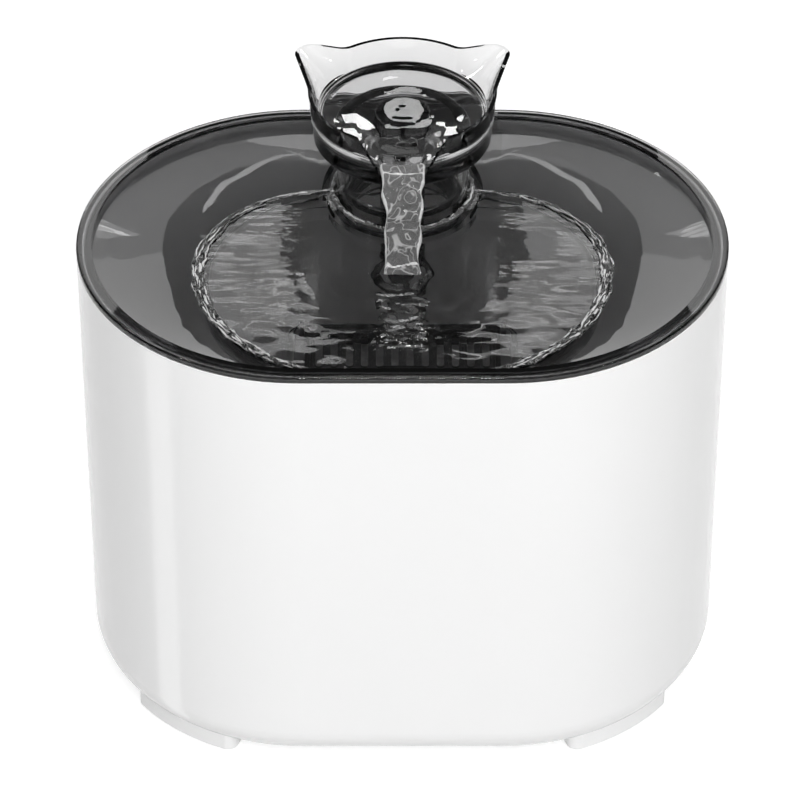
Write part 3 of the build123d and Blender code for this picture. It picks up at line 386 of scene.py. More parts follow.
# ------------ tank shell
# The tank is one deep injection moulding in white ABS with a high polish. Its four arc feet are moulded
# on, and its rim carries the tray's flange.
def on_object(tree, kind, **settings):
    """A texture laid out in the object's own coordinates."""
    texture = node(tree, kind, **settings)
    wire(tree, (node(tree, "TexCoord"), "Object", texture, "Vector"))
    return texture


def moulded_finish():
    """A node group for moulded plastic: a slow drift of tone and gloss, and a fine faint relief."""
    group = bpy.data.node_groups.new("moulded_finish", "ShaderNodeTree")
    face = group.interface
    for name, kind, start in (
        ("Colour", "NodeSocketColor", (0.8, 0.8, 0.8, 1)),
        ("Tone Drift", "NodeSocketFloat", 0.02),
        ("Drift Scale", "NodeSocketFloat", 18.0),
        ("Gloss Low", "NodeSocketFloat", 0.15),
        ("Gloss High", "NodeSocketFloat", 0.22),
        ("Grain Scale", "NodeSocketFloat", 900.0),
    ):
        face.new_socket(name, in_out="INPUT", socket_type=kind).default_value = start
    for name, kind in (("Base Color", "Color"), ("Roughness", "Float"), ("Height", "Float")):
        face.new_socket(name, in_out="OUTPUT", socket_type="NodeSocket" + kind)
    inside = node(group, "NodeGroupInput")
    result = node(group, "NodeGroupOutput")
    slow = on_object(group, "TexNoise", Detail=3.0)
    fine = on_object(group, "TexNoise", Detail=2.0)
    darker = node(group, "HueSaturation")
    value = node(group, "Math", operation="MULTIPLY_ADD", at_2=1.0)
    centred = node(group, "Math", operation="SUBTRACT", at_1=0.5)
    gloss = node(group, "MapRange")
    wire(
        group,
        (inside, "Drift Scale", slow, "Scale"), (inside, "Grain Scale", fine, "Scale"),
        (slow, "Fac", centred, 0), (centred, 0, value, 0), (inside, "Tone Drift", value, 1),
        (value, 0, darker, "Value"), (inside, "Colour", darker, "Color"),
        (darker, "Color", result, "Base Color"), (slow, "Fac", gloss, "Value"),
        (inside, "Gloss Low", gloss, "To Min"), (inside, "Gloss High", gloss, "To Max"),
        (gloss, 0, result, "Roughness"), (fine, "Fac", result, "Height"),
    )
    return group


moulded = moulded_finish()


def moulded_plastic(name, colour, gloss, relief=0.02, grain=900.0, drift=0.03, **fixed):
    """The group drives colour, gloss and relief. The fixed values sit on the shader itself."""
    material, tree = new_material(name)
    look = node(tree, "Group", node_tree=moulded, Colour=(*colour, 1), Tone_Drift=drift, Grain_Scale=grain)
    look.inputs["Gloss Low"].default_value, look.inputs["Gloss High"].default_value = gloss
    bump = node(tree, "Bump", Strength=relief, Distance=0.0002)
    shader = node(tree, "BsdfPrincipled", **fixed)
    wire(
        tree,
        (look, "Base Color", shader, "Base Color"), (look, "Roughness", shader, "Roughness"),
        (look, "Height", bump, "Height"), (bump, "Normal", shader, "Normal"),
    )
    surface_from(tree, shader)
    return material


def finish(material, *names):
    """Gives carried-over nodes their material."""
    for name in names:
        paint(nodes[name], material)


white_shell = moulded_plastic("polished_white_abs", (0.90, 0.90, 0.90), (0.12, 0.17), drift=0.012, IOR=1.52)
finish(white_shell, "tank_shell")


# ------------ rubber pieces
# Foot pads, the lead's grommet, the O-ring and the pump's suction cups are matt silicone and nitrile
# rubber, pressed or clipped into place.
matt = {"relief": 0.3, "grain": 2500.0}
grey_rubber = moulded_plastic("grey_silicone", (0.30, 0.30, 0.31), (0.62, 0.78), drift=0.12, **matt)
white_rubber = moulded_plastic("white_silicone", (0.74, 0.74, 0.73), (0.55, 0.70), drift=0.06, **matt)
black_rubber = moulded_plastic("black_rubber", (0.022, 0.022, 0.023), (0.55, 0.72), drift=0.2, **matt)
finish(grey_rubber, "foot_pads", "riser_seal")
finish(white_rubber, "cable_grommet")
finish(black_rubber, "suction_cups", "pump_cable_gland", "shaft_bushes")


# ------------ pump
# A small submersible pump in black ABS. Its intake cover slides off to the left, the rotor runs on a
# ceramic pin, and the laminated core with its winding is potted behind the end cap.
mould_grain = 1600.0
black_abs = moulded_plastic("black_abs", (0.020, 0.020, 0.022), (0.34, 0.46), 0.35, mould_grain, 0.15)
dial_grey = moulded_plastic("dial_grey_abs", (0.17, 0.175, 0.18), (0.36, 0.48), 0.3, mould_grain, 0.1)
impeller_white = moulded_plastic("impeller_acetal", (0.72, 0.72, 0.70), (0.30, 0.40), relief=0.1, drift=0.05)
ceramic = moulded_plastic("ceramic_pin", (0.82, 0.81, 0.77), (0.06, 0.12), relief=0.02, drift=0.03)
ferrite = moulded_plastic("ferrite_magnet", (0.035, 0.033, 0.032), (0.38, 0.58), relief=0.4, drift=0.3)
steel = moulded_plastic("core_steel", (0.30, 0.30, 0.31), (0.30, 0.50), relief=0.3, drift=0.3, Metallic=1.0)
copper = moulded_plastic("enamelled_copper", (0.55, 0.22, 0.09), (0.22, 0.36), drift=0.3, Metallic=1.0)
finish(black_abs, "pump_housing", "pump_end_cap", "pump_cover", "volute_plate")
finish(dial_grey, "flow_dial")
finish(impeller_white, "impeller")
finish(ceramic, "pump_shaft")
finish(ferrite, "rotor_magnet")
finish(steel, "stator_core")
finish(copper, "stator_coil")


# ------------ pump sponge
# A pad of black open-cell foam, cut with a hot wire, sits pressed into the intake cover and keeps hair
# out of the pump.
def box_of_faces(low, high, cell):
    """Vertices and faces of a closed box with a fine square mesh on every side."""
    vertices, faces = [], []
    for axis in range(3):
        a, b = (axis + 1) % 3, (axis + 2) % 3
        across, along = [max(2, round((high[k] - low[k]) / cell)) for k in (a, b)]
        for end in (low, high):
            start = len(vertices)
            for i in range(across + 1):
                for j in range(along + 1):
                    point = Vector((0, 0, 0))
                    point[axis] = end[axis]
                    point[a] = low[a] + (high[a] - low[a]) * i / across
                    point[b] = low[b] + (high[b] - low[b]) * j / along
                    vertices.append(point)
            for i in range(across):
                for j in range(along):
                    k = start + i * (along + 1) + j
                    faces.append((k, k + along + 1, k + along + 2, k + 1))
    return vertices, faces


def merge_close(piece, reach):
    """Joins points that lie within reach of each other, and turns all faces outwards."""
    work = bmesh.new()
    work.from_mesh(piece.data)
    bmesh.ops.remove_doubles(work, verts=work.verts, dist=reach)
    bmesh.ops.recalc_face_normals(work, faces=work.faces)
    work.to_mesh(piece.data)
    work.free()


def cut_pad(name, solid, rounding, cell, hollow, grain, layer):
    """A foam or felt pad: a block with worn edges, whose faces sink a little into the solid's box."""
    low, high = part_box(solid)
    skin = 0.00005
    vertices, faces = box_of_faces(low, high, cell)
    made = mesh_piece(name, [tuple(v) for v in vertices], faces)
    merge_close(made, cell * 0.1)
    middle = (low + high) / 2
    for vertex in made.data.vertices:
        core = Vector([min(max(vertex.co[k], low[k] + rounding), high[k] - rounding) for k in range(3)])
        out = (vertex.co - core).normalized()
        ragged = 0.5 + 0.5 * noise.noise(Vector(vertex.co) / grain + Vector((0, 0, layer)))
        slow = 0.5 + 0.5 * noise.noise(Vector(vertex.co) / (9 * grain) + Vector((layer, 0, 0)))
        vertex.co = core + out * (rounding - hollow * (0.55 * ragged + 0.45 * slow) - skin)
    return made


def open_cell_foam(name, colour, cells):
    """Foam: a web of struts with pores between them. The pores carry painted shade and are darker towards
    their middles.
    """
    material, tree = new_material(name)
    web = on_object(tree, "TexVoronoi", feature="DISTANCE_TO_EDGE", Scale=cells)
    depth = node(tree, "MapRange", From_Min=0.02, From_Max=0.28, To_Min=1.0, To_Max=0.0)
    # Painted shade: the pores' middles are a quarter as bright as the struts.
    painted_pore_shade = (*[c * 0.25 for c in colour], 1)
    tone = node(tree, "Mix", data_type="RGBA", at_6=painted_pore_shade, at_7=(*colour, 1))
    bump = node(tree, "Bump", Strength=0.9, Distance=0.0004)
    shader = node(tree, "BsdfPrincipled", Roughness=0.85)
    wire(
        tree,
        (web, "Distance", depth, "Value"), (depth, 0, tone, "Factor"), (depth, 0, bump, "Height"),
        (tone, 2, shader, "Base Color"), (bump, "Normal", shader, "Normal"),
    )
    surface_from(tree, shader)
    return material


foam_pad = cut_pad("foam_pad", "pump_sponge", 0.0016, 0.0005, 0.00028, 0.0009, 3.0)
paint(foam_pad, open_cell_foam("black_foam", (0.045, 0.045, 0.048), 900.0))
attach(foam_pad, "intake_cover")
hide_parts("pump_sponge")


# ------------ filter cartridge
# The basket is a thin moulding in dark polypropylene that hangs in the tray's well. A felt pad lies on
# top of the carbon sachet in it.
dark_pp = moulded_plastic("filter_basket_pp", (0.035, 0.035, 0.037), (0.42, 0.52), relief=0.1, drift=0.04)
finish(dark_pp, "filter_basket")


def fibre_cloth(name, dark, pale, fibres, weave, sheen):
    """Felt or non-woven cloth: long tangled fibres, with a heat-set grid of little dents in the cloth."""
    material, tree = new_material(name)
    tangle = on_object(tree, "TexNoise", Scale=fibres, Detail=6.0, Distortion=3.0)
    fuzz = on_object(tree, "TexNoise", Scale=fibres * 0.12, Detail=3.0)
    dents = on_object(tree, "TexVoronoi", Scale=weave)
    relief = node(tree, "Math", operation="MULTIPLY")
    tone = node(tree, "Mix", data_type="RGBA", at_6=(*[dark] * 3, 1), at_7=(*[pale] * 3, 1))
    mixed = node(tree, "Math", operation="MULTIPLY_ADD", at_1=0.5)
    bump = node(tree, "Bump", Strength=0.7, Distance=0.0003)
    shader = node(tree, "BsdfPrincipled", Roughness=0.9, Sheen_Weight=sheen, Sheen_Roughness=0.5)
    wire(
        tree,
        (tangle, "Fac", relief, 0), (dents, "Distance", relief, 1), (tangle, "Fac", mixed, 0),
        (fuzz, "Fac", mixed, 2), (mixed, 0, tone, "Factor"), (relief, 0, bump, "Height"),
        (tone, 2, shader, "Base Color"), (bump, "Normal", shader, "Normal"),
    )
    surface_from(tree, shader)
    return material


felt_pad = cut_pad("felt_pad", "filter_felt", 0.0011, 0.0005, 0.00030, 0.0012, 7.0)
paint(felt_pad, fibre_cloth("needle_felt", 0.040, 0.105, 2600.0, 900.0, 0.15))
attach(felt_pad, "filter_cartridge")
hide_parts("filter_felt")


# The sachet is two sheets of charcoal cloth, heat-sealed all round and plump with carbon granules.
def blown_sachet(name, solid, seam, seal_thickness):
    """Two sheets joined at their rim, blown up by a cloth simulation at a larger size, with their seal."""
    low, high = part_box(solid)
    margin = 0.00005
    size, middle = high - low, (high + low) / 2
    larger = 10.0
    long, wide = 64, 20
    half_x, half_y = [larger * (size[k] / 2 - seam) for k in (0, 1)]
    vertices, faces, number = [], [], {}
    for side in (1, -1):
        for i in range(long + 1):
            for j in range(wide + 1):
                u, v = 2 * i / long - 1, 2 * j / wide - 1
                rim = i in (0, long) or j in (0, wide)
                if rim and side < 0:
                    number[(side, i, j)] = number[(1, i, j)]
                    continue
                number[(side, i, j)] = len(vertices)
                gap = 0.008 + 0.006 * noise.noise(Vector((u * 7, v * 3, side)))
                vertices.append((u * half_x, v * half_y, 0.0 if rim else side * gap))
        for i in range(long):
            for j in range(wide):
                corners = [number[(side, *c)] for c in ((i, j), (i + 1, j), (i + 1, j + 1), (i, j + 1))]
                faces.append(tuple(corners if side > 0 else corners[::-1]))
    sheets = mesh_piece(name, vertices, faces)
    cloth = sheets.modifiers.new("cloth", "CLOTH")
    cloth.settings.quality = 7
    cloth.settings.use_pressure = True
    cloth.settings.uniform_pressure_force = 4.0
    cloth.settings.effector_weights.gravity = 0.0
    for frame_number in range(1, 21):
        bpy.context.scene.frame_set(frame_number)
    settle_modifiers(sheets)
    blown = [v.co / larger for v in sheets.data.vertices]
    reach = [max(abs(p[k]) for p in blown) for k in range(3)]
    fit = [(size[k] / 2 - inset) / reach[k] for k, inset in enumerate((seam, seam, 2 * margin))]
    granules = 0.00022
    shaped = []
    for point in blown:
        lump = granules * (noise.noise(point / 0.0011) - 0.6) * min(1.0, abs(point.z) / 0.0012)
        height = point.z * fit[2] + math.copysign(lump, point.z)
        shaped.append(middle + Vector((point.x * min(1.0, fit[0]), point.y * min(1.0, fit[1]), height)))
    walk = [(i, 0) for i in range(long)] + [(long, j) for j in range(wide)]
    walk += [(i, wide) for i in range(long, 0, -1)] + [(0, j) for j in range(wide, 0, -1)]
    loop = [number[(1, i, j)] for i, j in walk]
    count = len(shaped)
    for k, index in enumerate(loop):
        point = shaped[index]
        ahead = shaped[loop[(k + 1) % len(loop)]] - shaped[loop[k - 1]]
        out = Vector((ahead.y, -ahead.x, 0)).normalized()
        crimp = seal_thickness / 2 * (1.0 + 0.5 * math.cos(math.pi * k))
        for far, lift in ((-0.0006, crimp), (seam, crimp), (seam, -crimp), (-0.0006, -crimp)):
            edge = point + out * far
            edge.x = min(max(edge.x, low.x + margin), high.x - margin)
            edge.y = min(max(edge.y, low.y + margin), high.y - margin)
            edge.z = middle.z + lift
            shaped.append(edge)
    seal = []
    for k in range(len(loop)):
        a, b = count + 4 * k, count + 4 * ((k + 1) % len(loop))
        for c in range(4):
            seal.append((a + c, a + (c + 1) % 4, b + (c + 1) % 4, b + c))
    pillow_faces = [tuple(polygon.vertices) for polygon in sheets.data.polygons]
    bpy.data.objects.remove(sheets)
    made = mesh_piece(name, [tuple(v) for v in shaped], pillow_faces + seal)
    finer = made.modifiers.new("finer", "SUBSURF")
    finer.levels = 1
    settle_modifiers(made)
    merge_close(made, 1e-7)
    return made


def settle_modifiers(piece):
    """Applies the piece's modifiers to its mesh."""
    graph = bpy.context.evaluated_depsgraph_get()
    shaped = bpy.data.meshes.new_from_object(piece.evaluated_get(graph))
    piece.modifiers.clear()
    piece.data = shaped
    for polygon in shaped.polygons:
        polygon.use_smooth = True


sachet = blown_sachet("carbon_sachet", "carbon_pack", 0.0016, 0.0005)
paint(sachet, fibre_cloth("charcoal_cloth", 0.02, 0.07, 3000.0, 1400.0, 0.15))
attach(sachet, "filter_cartridge")
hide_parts("carbon_pack")


# ------------ tray
# The drinking tray is one moulding in smoke-tinted clear plastic, polished all over. The white tank
# below shows through it.
def outside_oval(centre_x, radius):
    """A mask that is 1 outside an oval of two half rounds and a straight middle, seen from above."""
    group = bpy.data.node_groups.new("outside_oval", "ShaderNodeTree")
    group.interface.new_socket("Mask", in_out="OUTPUT", socket_type="NodeSocketFloat")
    result = node(group, "NodeGroupOutput")
    place = node(group, "TexCoord")
    parts = node(group, "SeparateXYZ")
    width = node(group, "Math", operation="ABSOLUTE")
    beyond = node(group, "Math", operation="SUBTRACT", at_1=centre_x)
    clipped = node(group, "Math", operation="MAXIMUM", at_1=0.0)
    flat = node(group, "CombineXYZ")
    away = node(group, "VectorMath", operation="LENGTH")
    mask = node(group, "MapRange", From_Min=radius, From_Max=radius + 0.0006)
    wire(
        group,
        (place, "Object", parts, 0), (parts, 0, width, 0), (width, 0, beyond, 0),
        (beyond, 0, clipped, 0), (clipped, 0, flat, 0), (parts, 1, flat, 1), (flat, 0, away, 0),
        (away, "Value", mask, "Value"), (mask, 0, result, "Mask"),
    )
    return group


smoke_tint = (0.25, 0.25, 0.26)


def clear_plastic(name, density, clearness, pale_edge=None):
    """Clear plastic that darkens with its thickness. Outside the pale edge's oval its surface is clearer."""
    material, tree = new_material(name)
    shader = node(tree, "BsdfPrincipled", IOR=1.5, Transmission_Weight=1.0)
    drift = on_object(tree, "TexNoise", Scale=40.0, Detail=2.0)
    gloss = node(tree, "MapRange", To_Min=0.0, To_Max=0.02)
    tone = node(tree, "MapRange", To_Min=clearness[0], To_Max=clearness[1])
    wire(
        tree,
        (drift, "Fac", gloss, "Value"), (drift, "Fac", tone, "Value"),
        (gloss, 0, shader, "Roughness"), (tone, 0, shader, "Base Color"),
    )
    if pale_edge:
        edge = node(tree, "Group", node_tree=outside_oval(*pale_edge))
        paler = node(tree, "Mix", data_type="RGBA", at_7=(1, 1, 1, 1))
        wire(tree, (edge, "Mask", paler, "Factor"), (tone, 0, paler, 6), (paler, 2, shader, "Base Color"))
    tinted = node(tree, "VolumeAbsorption", Color=(*smoke_tint, 1), Density=density)
    out = surface_from(tree, shader)
    wire(tree, (tinted, 0, out, "Volume"))
    return material


lip_oval = (0.0311, 0.0662)
finish(clear_plastic("smoke_clear_as", 295.0, (0.90, 0.96), lip_oval), "tray")
finish(clear_plastic("smoke_lid", 1400.0, (0.86, 0.92)), "filter_lid")


# ------------ column and spout
# Column and cup are clear polycarbonate with a trace of smoke, which shows along their long ways. The
# riser tube and the spreader are moulded in a darker smoke.
finish(clear_plastic("clear_polycarbonate", 95.0, (0.94, 1.0)), "riser_sleeve", "spout_cup")
finish(clear_plastic("smoke_riser", 520.0, (0.86, 0.92)), "flow_spreader", "riser_tube")


# ------------ pool water
# The pool is filled to its crease. The falling stream sends rings over it, and the surface climbs a
# little at the column.
spout_y = 0.0396
pool_middle = -0.003
pool_half = 0.0625
pool_rear = 0.038
pool_front = -0.057
rear_flat = 0.0215
front_flat = 0.0085
impact = Vector((0.0, -0.005))
ring_height, ring_fade, ring_spacing = 0.00022, 0.0085, 0.0058
crater_height, crater_radius, crater_width = 0.0009, 0.0072, 0.0017
trail_height, trail_half_width, trail_start, trail_end = 0.00055, 0.0072, -0.014, -0.040
swell_height, crest_height, fine_crest_height, break_up_height = 0.00004, 0.000030, 0.000008, 0.00006
climb_height, climb_fade, column_radius = 0.0009, 0.0011, 0.0205


def pool_half_width(y):
    """Half the pool's width at y: a flat and a quarter ellipse on each side."""
    end, flat = (pool_rear, rear_flat) if y > pool_middle else (pool_front, front_flat)
    share = min(1.0, abs((y - pool_middle) / (end - pool_middle)))
    return flat + (pool_half - flat) * math.sqrt(1 - share * share)


def wobble(x, y, stretch_x, stretch_y, layer):
    """Smooth noise from -1 to 1, with its own grain length along X and Y."""
    return noise.noise(Vector((x / stretch_x, y / stretch_y, layer)))


def pool_ripple(x, y):
    """How far the surface stands above the crease's level."""
    away = math.hypot(x - impact.x, (y - impact.y) * 1.15)
    bend = 0.0042 * wobble(x, y, 0.013, 0.013, 3.1)
    rings = ring_height * math.exp(-away / ring_fade) * math.cos(2 * math.pi * (away + bend) / ring_spacing)
    front = min(1.0, max(0.0, (0.014 - y) / 0.045))
    loose = 0.4 + 0.6 * front
    swell = swell_height * loose * wobble(x, y, 0.060, 0.0085, 1.7)
    crests = crest_height * loose * wobble(x, y, 0.020, 0.0050, 5.3)
    crests += fine_crest_height * wobble(x, y, 0.0090, 0.0019, 9.9)
    break_up = break_up_height * front**2 * wobble(x, y, 0.0090, 0.0045, 12.6)
    crater = crater_height * math.exp(-(((away - crater_radius) / crater_width) ** 2))
    crater *= 0.8 + 0.9 * wobble(x, y, 0.0030, 0.0030, 8.2)
    across = math.exp(-((x / trail_half_width) ** 4))
    along = 1 / (1 + math.exp((y - trail_start) / 0.0015)) / (1 + math.exp(-(y - trail_end) / 0.0025))
    trail = trail_height * across * along * wobble(x, y, 0.0030, 0.0022, 15.8)
    to_column = math.hypot(x, y - spout_y)
    climb = climb_height * math.exp(-max(0.0, to_column - column_radius) / climb_fade)
    return rings + swell + crests + break_up + crater + trail + climb


def slab_from_rows(name, rows, foot_rows):
    """A closed body between two grids of points with the same count of rows and columns."""
    high, wide = len(rows), len(rows[0])
    vertices = [p for row in rows for p in row] + [p for row in foot_rows for p in row]
    lower = high * wide
    faces = []
    for i in range(high - 1):
        for j in range(wide - 1):
            a = i * wide + j
            faces.append((a, a + 1, a + wide + 1, a + wide))
            faces.append((lower + a, lower + a + wide, lower + a + wide + 1, lower + a + 1))
    rim = list(range(wide)) + [i * wide + wide - 1 for i in range(1, high)]
    rim += [(high - 1) * wide + j for j in range(wide - 2, -1, -1)]
    rim += [i * wide for i in range(high - 2, 0, -1)]
    for a, b in zip(rim, rim[1:] + rim[:1]):
        faces.append((b, a, lower + a, lower + b))
    return mesh_piece(name, vertices, faces)


def turned_piece(name, profile, x, y, sides=96):
    """A closed body of revolution about the upright line at x, y. The profile runs from axis to axis."""
    vertices, faces = [], []
    for k in range(sides):
        angle = 2 * math.pi * k / sides
        vertices += [(x + r * math.cos(angle), y + r * math.sin(angle), z) for r, z in profile]
    count = len(profile)
    for k in range(sides):
        for i in range(count - 1):
            a = k * count + i
            b = ((k + 1) % sides) * count + i
            faces.append((a, b, b + 1, a + 1))
    made = mesh_piece(name, vertices, faces)
    merge_close(made, 1e-6)
    return made


def combine(piece, operation, other):
    """Joins the other body to the piece or cuts it out, and takes it away."""
    change = piece.modifiers.new("combine", "BOOLEAN")
    change.operation = operation
    change.solver = "EXACT"
    change.object = other
    settle_modifiers(piece)
    bpy.data.objects.remove(other)


def water_material(name, clearness=1.0, sheen=0.0, between=1.0, swirl=150.0, ripple=0.10):
    """Water with fine ripples. Churned water is less clear and has a bright rim. Its pale swirls, with a
    darker tone between them, are painted reflections.
    """
    material, tree = new_material(name)
    small = on_object(tree, "TexNoise", Scale=420.0, Detail=2.0)
    bump = node(tree, "Bump", Strength=ripple, Distance=0.0003)
    gloss = node(tree, "MapRange", To_Min=0.0, To_Max=0.012)
    shader = node(tree, "BsdfPrincipled", IOR=1.333, Transmission_Weight=clearness, Base_Color=(1, 1, 1, 1))
    shader.inputs["Sheen Weight"].default_value = sheen
    shader.inputs["Sheen Roughness"].default_value = 0.18
    wire(tree, (small, "Fac", bump, "Height"), (small, "Fac", gloss, "Value"))
    if between < 1.0:
        # Painted reflections: pale swirls in the base colour, with a darker tone between them.
        painted_swirls = on_object(tree, "TexNoise", Scale=swirl, Detail=1.0, Distortion=1.6)
        centred = node(tree, "Math", operation="SUBTRACT", at_1=0.5)
        width = node(tree, "Math", operation="ABSOLUTE")
        painted_swirl_tone = node(tree, "MapRange", From_Min=0.006, From_Max=0.035, To_Min=1.0, To_Max=between)
        wire(
            tree,
            (painted_swirls, "Fac", centred, 0), (centred, 0, width, 0), (width, 0, painted_swirl_tone, "Value"),
            (painted_swirl_tone, 0, shader, "Base Color"),
        )
    wire(tree, (gloss, 0, shader, "Roughness"), (bump, "Normal", shader, "Normal"))
    surface_from(tree, shader)
    return material


fresh_water = water_material("fresh_water", ripple=0.010)
airy_water = water_material("airy_water", 0.66, 1.0, 0.30)
# The lapping water is painted near black between its pale swirls, as painted dark reflections on the beads.
lapping_water = water_material("lapping_water", 0.62, 0.8, 0.04, 560.0)
# Nearly opaque white water, which paints highlights on the beads' crests and on the stream.
painted_highlight_water = water_material("painted_highlight_water", 0.25, 1.0, 0.75, 300.0)
pool_rows = 190
pool_columns = 220
fleck_half_width, fleck_front, fleck_rear, fleck_limit = 0.0070, -0.044, -0.013, 0.22
pool_depth = 0.0072
pool_inset = 0.0003
wall_run = 0.0026
top_rows, bottom_rows = [], []
for i in range(pool_rows):
    y = pool_front + (pool_rear - pool_front) * i / (pool_rows - 1)
    y_in = pool_middle + (y - pool_middle) * (1 - pool_inset / pool_half)
    half = pool_half_width(y) - pool_inset
    foot_half = half - wall_run
    foot_y = pool_middle + (y - pool_middle) * (1 - wall_run / pool_half)
    across = [2 * j / (pool_columns - 1) - 1 for j in range(pool_columns)]
    top_rows.append([(u * half, y_in, crease_z + 0.0001 + pool_ripple(u * half, y_in)) for u in across])
    bottom_rows.append([(u * foot_half, foot_y, crease_z - pool_depth) for u in across])
pool_water = slab_from_rows("pool_water", top_rows, bottom_rows)
room_base = 0.130
room_profile = [(0, room_base)]
for radius, top in ((0.0237, 0.1439), (0.0224, 0.1455), (0.0208, 0.160)):
    room_profile += [(radius, room_base), (radius, top)]
    room_base = top
room_profile.append((0, room_base))
combine(pool_water, "DIFFERENCE", turned_piece("column_room", room_profile, 0, spout_y))
paint(pool_water, fresh_water, airy_water)
for polygon in pool_water.data.polygons:
    x, y, z = polygon.center
    half = fleck_half_width + 0.002 * wobble(x, y, 0.005, 0.003, 41.0)
    trailing = abs(x) < half and fleck_front < y < fleck_rear
    fleck = trailing and z > crease_z - 0.001 and wobble(x, y, 0.0042, 0.0016, 43.0) > fleck_limit
    polygon.material_index = 1 if fleck else 0
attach(pool_water, "tray")


# ------------ waterline
# Where the pool laps at the crease and at the column's foot, the churned surface rolls up into twisted
# beads. White streaks along their crests are painted highlights.
def pool_outline(steps, inset):
    """Evenly spaced points along the pool's edge, inset a little, and the length all round."""
    dense, fine_steps = [], 1600
    for side in (1, -1):
        walk = []
        for i in range(fine_steps + 1):
            y = pool_front + (pool_rear - pool_front) * 0.5 * (1 - math.cos(math.pi * i / fine_steps))
            walk.append(Vector((side * (pool_half_width(y) - inset), y, 0)))
        dense += walk if side == 1 else walk[::-1]
    dense.append(dense[0].copy())
    lengths = [0.0]
    for a, b in zip(dense, dense[1:]):
        lengths.append(lengths[-1] + (b - a).length)
    points, k = [], 0
    for i in range(steps):
        want = lengths[-1] * i / steps
        while lengths[k + 1] < want:
            k += 1
        share = (want - lengths[k]) / max(1e-12, lengths[k + 1] - lengths[k])
        points.append(dense[k].lerp(dense[k + 1], share))
    return points, lengths[-1]


bead_sides = 14
dish_slope = 0.12
highlight_streak_y = -0.006
highlight_streak_reach = 0.046
crest_sides = 2, 3, 4
highlight_streak_limit = 0.10
outline_steps = 2400


def lapping_bead(name, path, length, outward, radius, twist, layer, wild=1.0):
    """A twisted strand of water that runs along a closed path, a given way out from the crease."""
    steps, around = len(path), bead_sides
    lift = radius + max(0.0, outward) * dish_slope
    vertices, faces = [], []
    for i, point in enumerate(path):
        ahead = (path[(i + 1) % steps] - path[i - 1]).normalized()
        side = Vector((ahead.y, -ahead.x, 0))
        along = length * i / steps
        # The pool lies calmer behind the spout, but not where the bead goes round the column.
        calm = 1 - 0.65 * min(1.0, max(0.0, (point.y + 0.002) / 0.022)) if wild == 1.0 else 1.0
        swell = calm * (1 + 0.6 * noise.noise(Vector((along / 0.009, layer, 0))))
        sway = 0.0009 * noise.noise(Vector((along / 0.007, layer, 4)))
        sway += 0.0004 * noise.noise(Vector((along / 0.0024, layer, 9)))
        turn = 2 * math.pi * along / twist
        for k in range(around):
            angle = 2 * math.pi * k / around
            lobe = 1 + 0.28 * math.sin(2 * angle + turn)
            lobe += 0.30 * noise.noise(Vector((along / 0.0013, angle, layer)))
            out = side * (sway * wild + 1.25 * radius * swell * lobe * math.cos(angle))
            height = crease_z + lift + radius * swell * lobe * math.sin(angle)
            vertices.append(point + out + Vector((0, 0, height)))
    for i in range(steps):
        for k in range(around):
            a, b = i * around + k, ((i + 1) % steps) * around + k
            c, d = ((i + 1) % steps) * around + (k + 1) % around, i * around + (k + 1) % around
            faces.append((a, b, c, d))
    made = mesh_piece(name, [tuple(v) for v in vertices], faces)
    merge_close(made, 1e-7)
    paint(made, lapping_water, painted_highlight_water)
    # Painted highlights: the bead's upper faces take the white material in patches where a noise runs high.
    for index, polygon in enumerate(made.data.polygons):
        i, k = divmod(index, around)
        streak = noise.noise(Vector((length * i / steps / 0.0055, 0.4 * k, layer + 20)))
        if k in crest_sides and streak > highlight_streak_limit and abs(path[i].y - highlight_streak_y) < highlight_streak_reach:
            polygon.material_index = 1
    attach(made, "tray")
    return made


strands = ((-0.0012, 0.00045), (-0.0002, 0.00055), (0.0008, 0.00050), (0.0019, 0.00038))
for number, (outward, radius) in enumerate(strands, 1):
    edge, edge_length = pool_outline(outline_steps, -outward)
    twist = 0.0045 + 0.0011 * number
    lapping_bead(f"waterline_{number}", edge, edge_length, outward, radius, twist, 11.0 * number)
foot_radius = 0.0218
foot_steps = 900
foot_ring = []
for i in range(foot_steps):
    angle = -2 * math.pi * i / foot_steps
    foot_ring.append(Vector((foot_radius * math.cos(angle), spout_y + foot_radius * math.sin(angle), 0)))
foot_length = 2 * math.pi * foot_radius
foot_bead = lapping_bead("waterline_5", foot_ring, foot_length, -0.0002, 0.00050, 0.0041, 67.0, wild=0.5)
foot_bead.data.materials[0] = airy_water


# ------------ water in the cup and the falling stream
# Water wells up over the spreader, fills the cup to just under its flare and pours through the notch
# in one ribbon, which narrows as it falls.
stream_start = 0.0170
stream_foot = -0.0046
stream_top = 0.1751
stream_drop = 0.0279
stream_bend = 2.26
stream_half_widths = 0.0076, 0.0056
stream_half_depths = 0.0021, 0.0013


def stream_middle(share):
    """The ribbon's middle line from inside the cup to the pool."""
    y = stream_start + (stream_foot - stream_start) * share
    return Vector((0, y, stream_top - stream_drop * max(0.0, share) ** stream_bend))


def stream_form(share):
    """How loose the ribbon hangs at a share of its way, and how far it has narrowed."""
    return min(1.0, max(0.0, (share - 0.22) / 0.35)), min(1.0, max(0.0, share) / 0.75) ** 0.8


def stream_sides(share):
    """The ribbon's reach to the left and to the right of its middle line, and its sideways drift."""
    loose, narrowing = stream_form(share)
    half_width = stream_half_widths[0] + (stream_half_widths[1] - stream_half_widths[0]) * narrowing
    waves = [0.0013 * loose * noise.noise(Vector((share * 9.0, side * 3.3, 2))) for side in (-1, 1)]
    drift = 0.0010 * loose * noise.noise(Vector((share * 4.2, 7.7, 2)))
    return half_width + waves[0], half_width + waves[1], drift


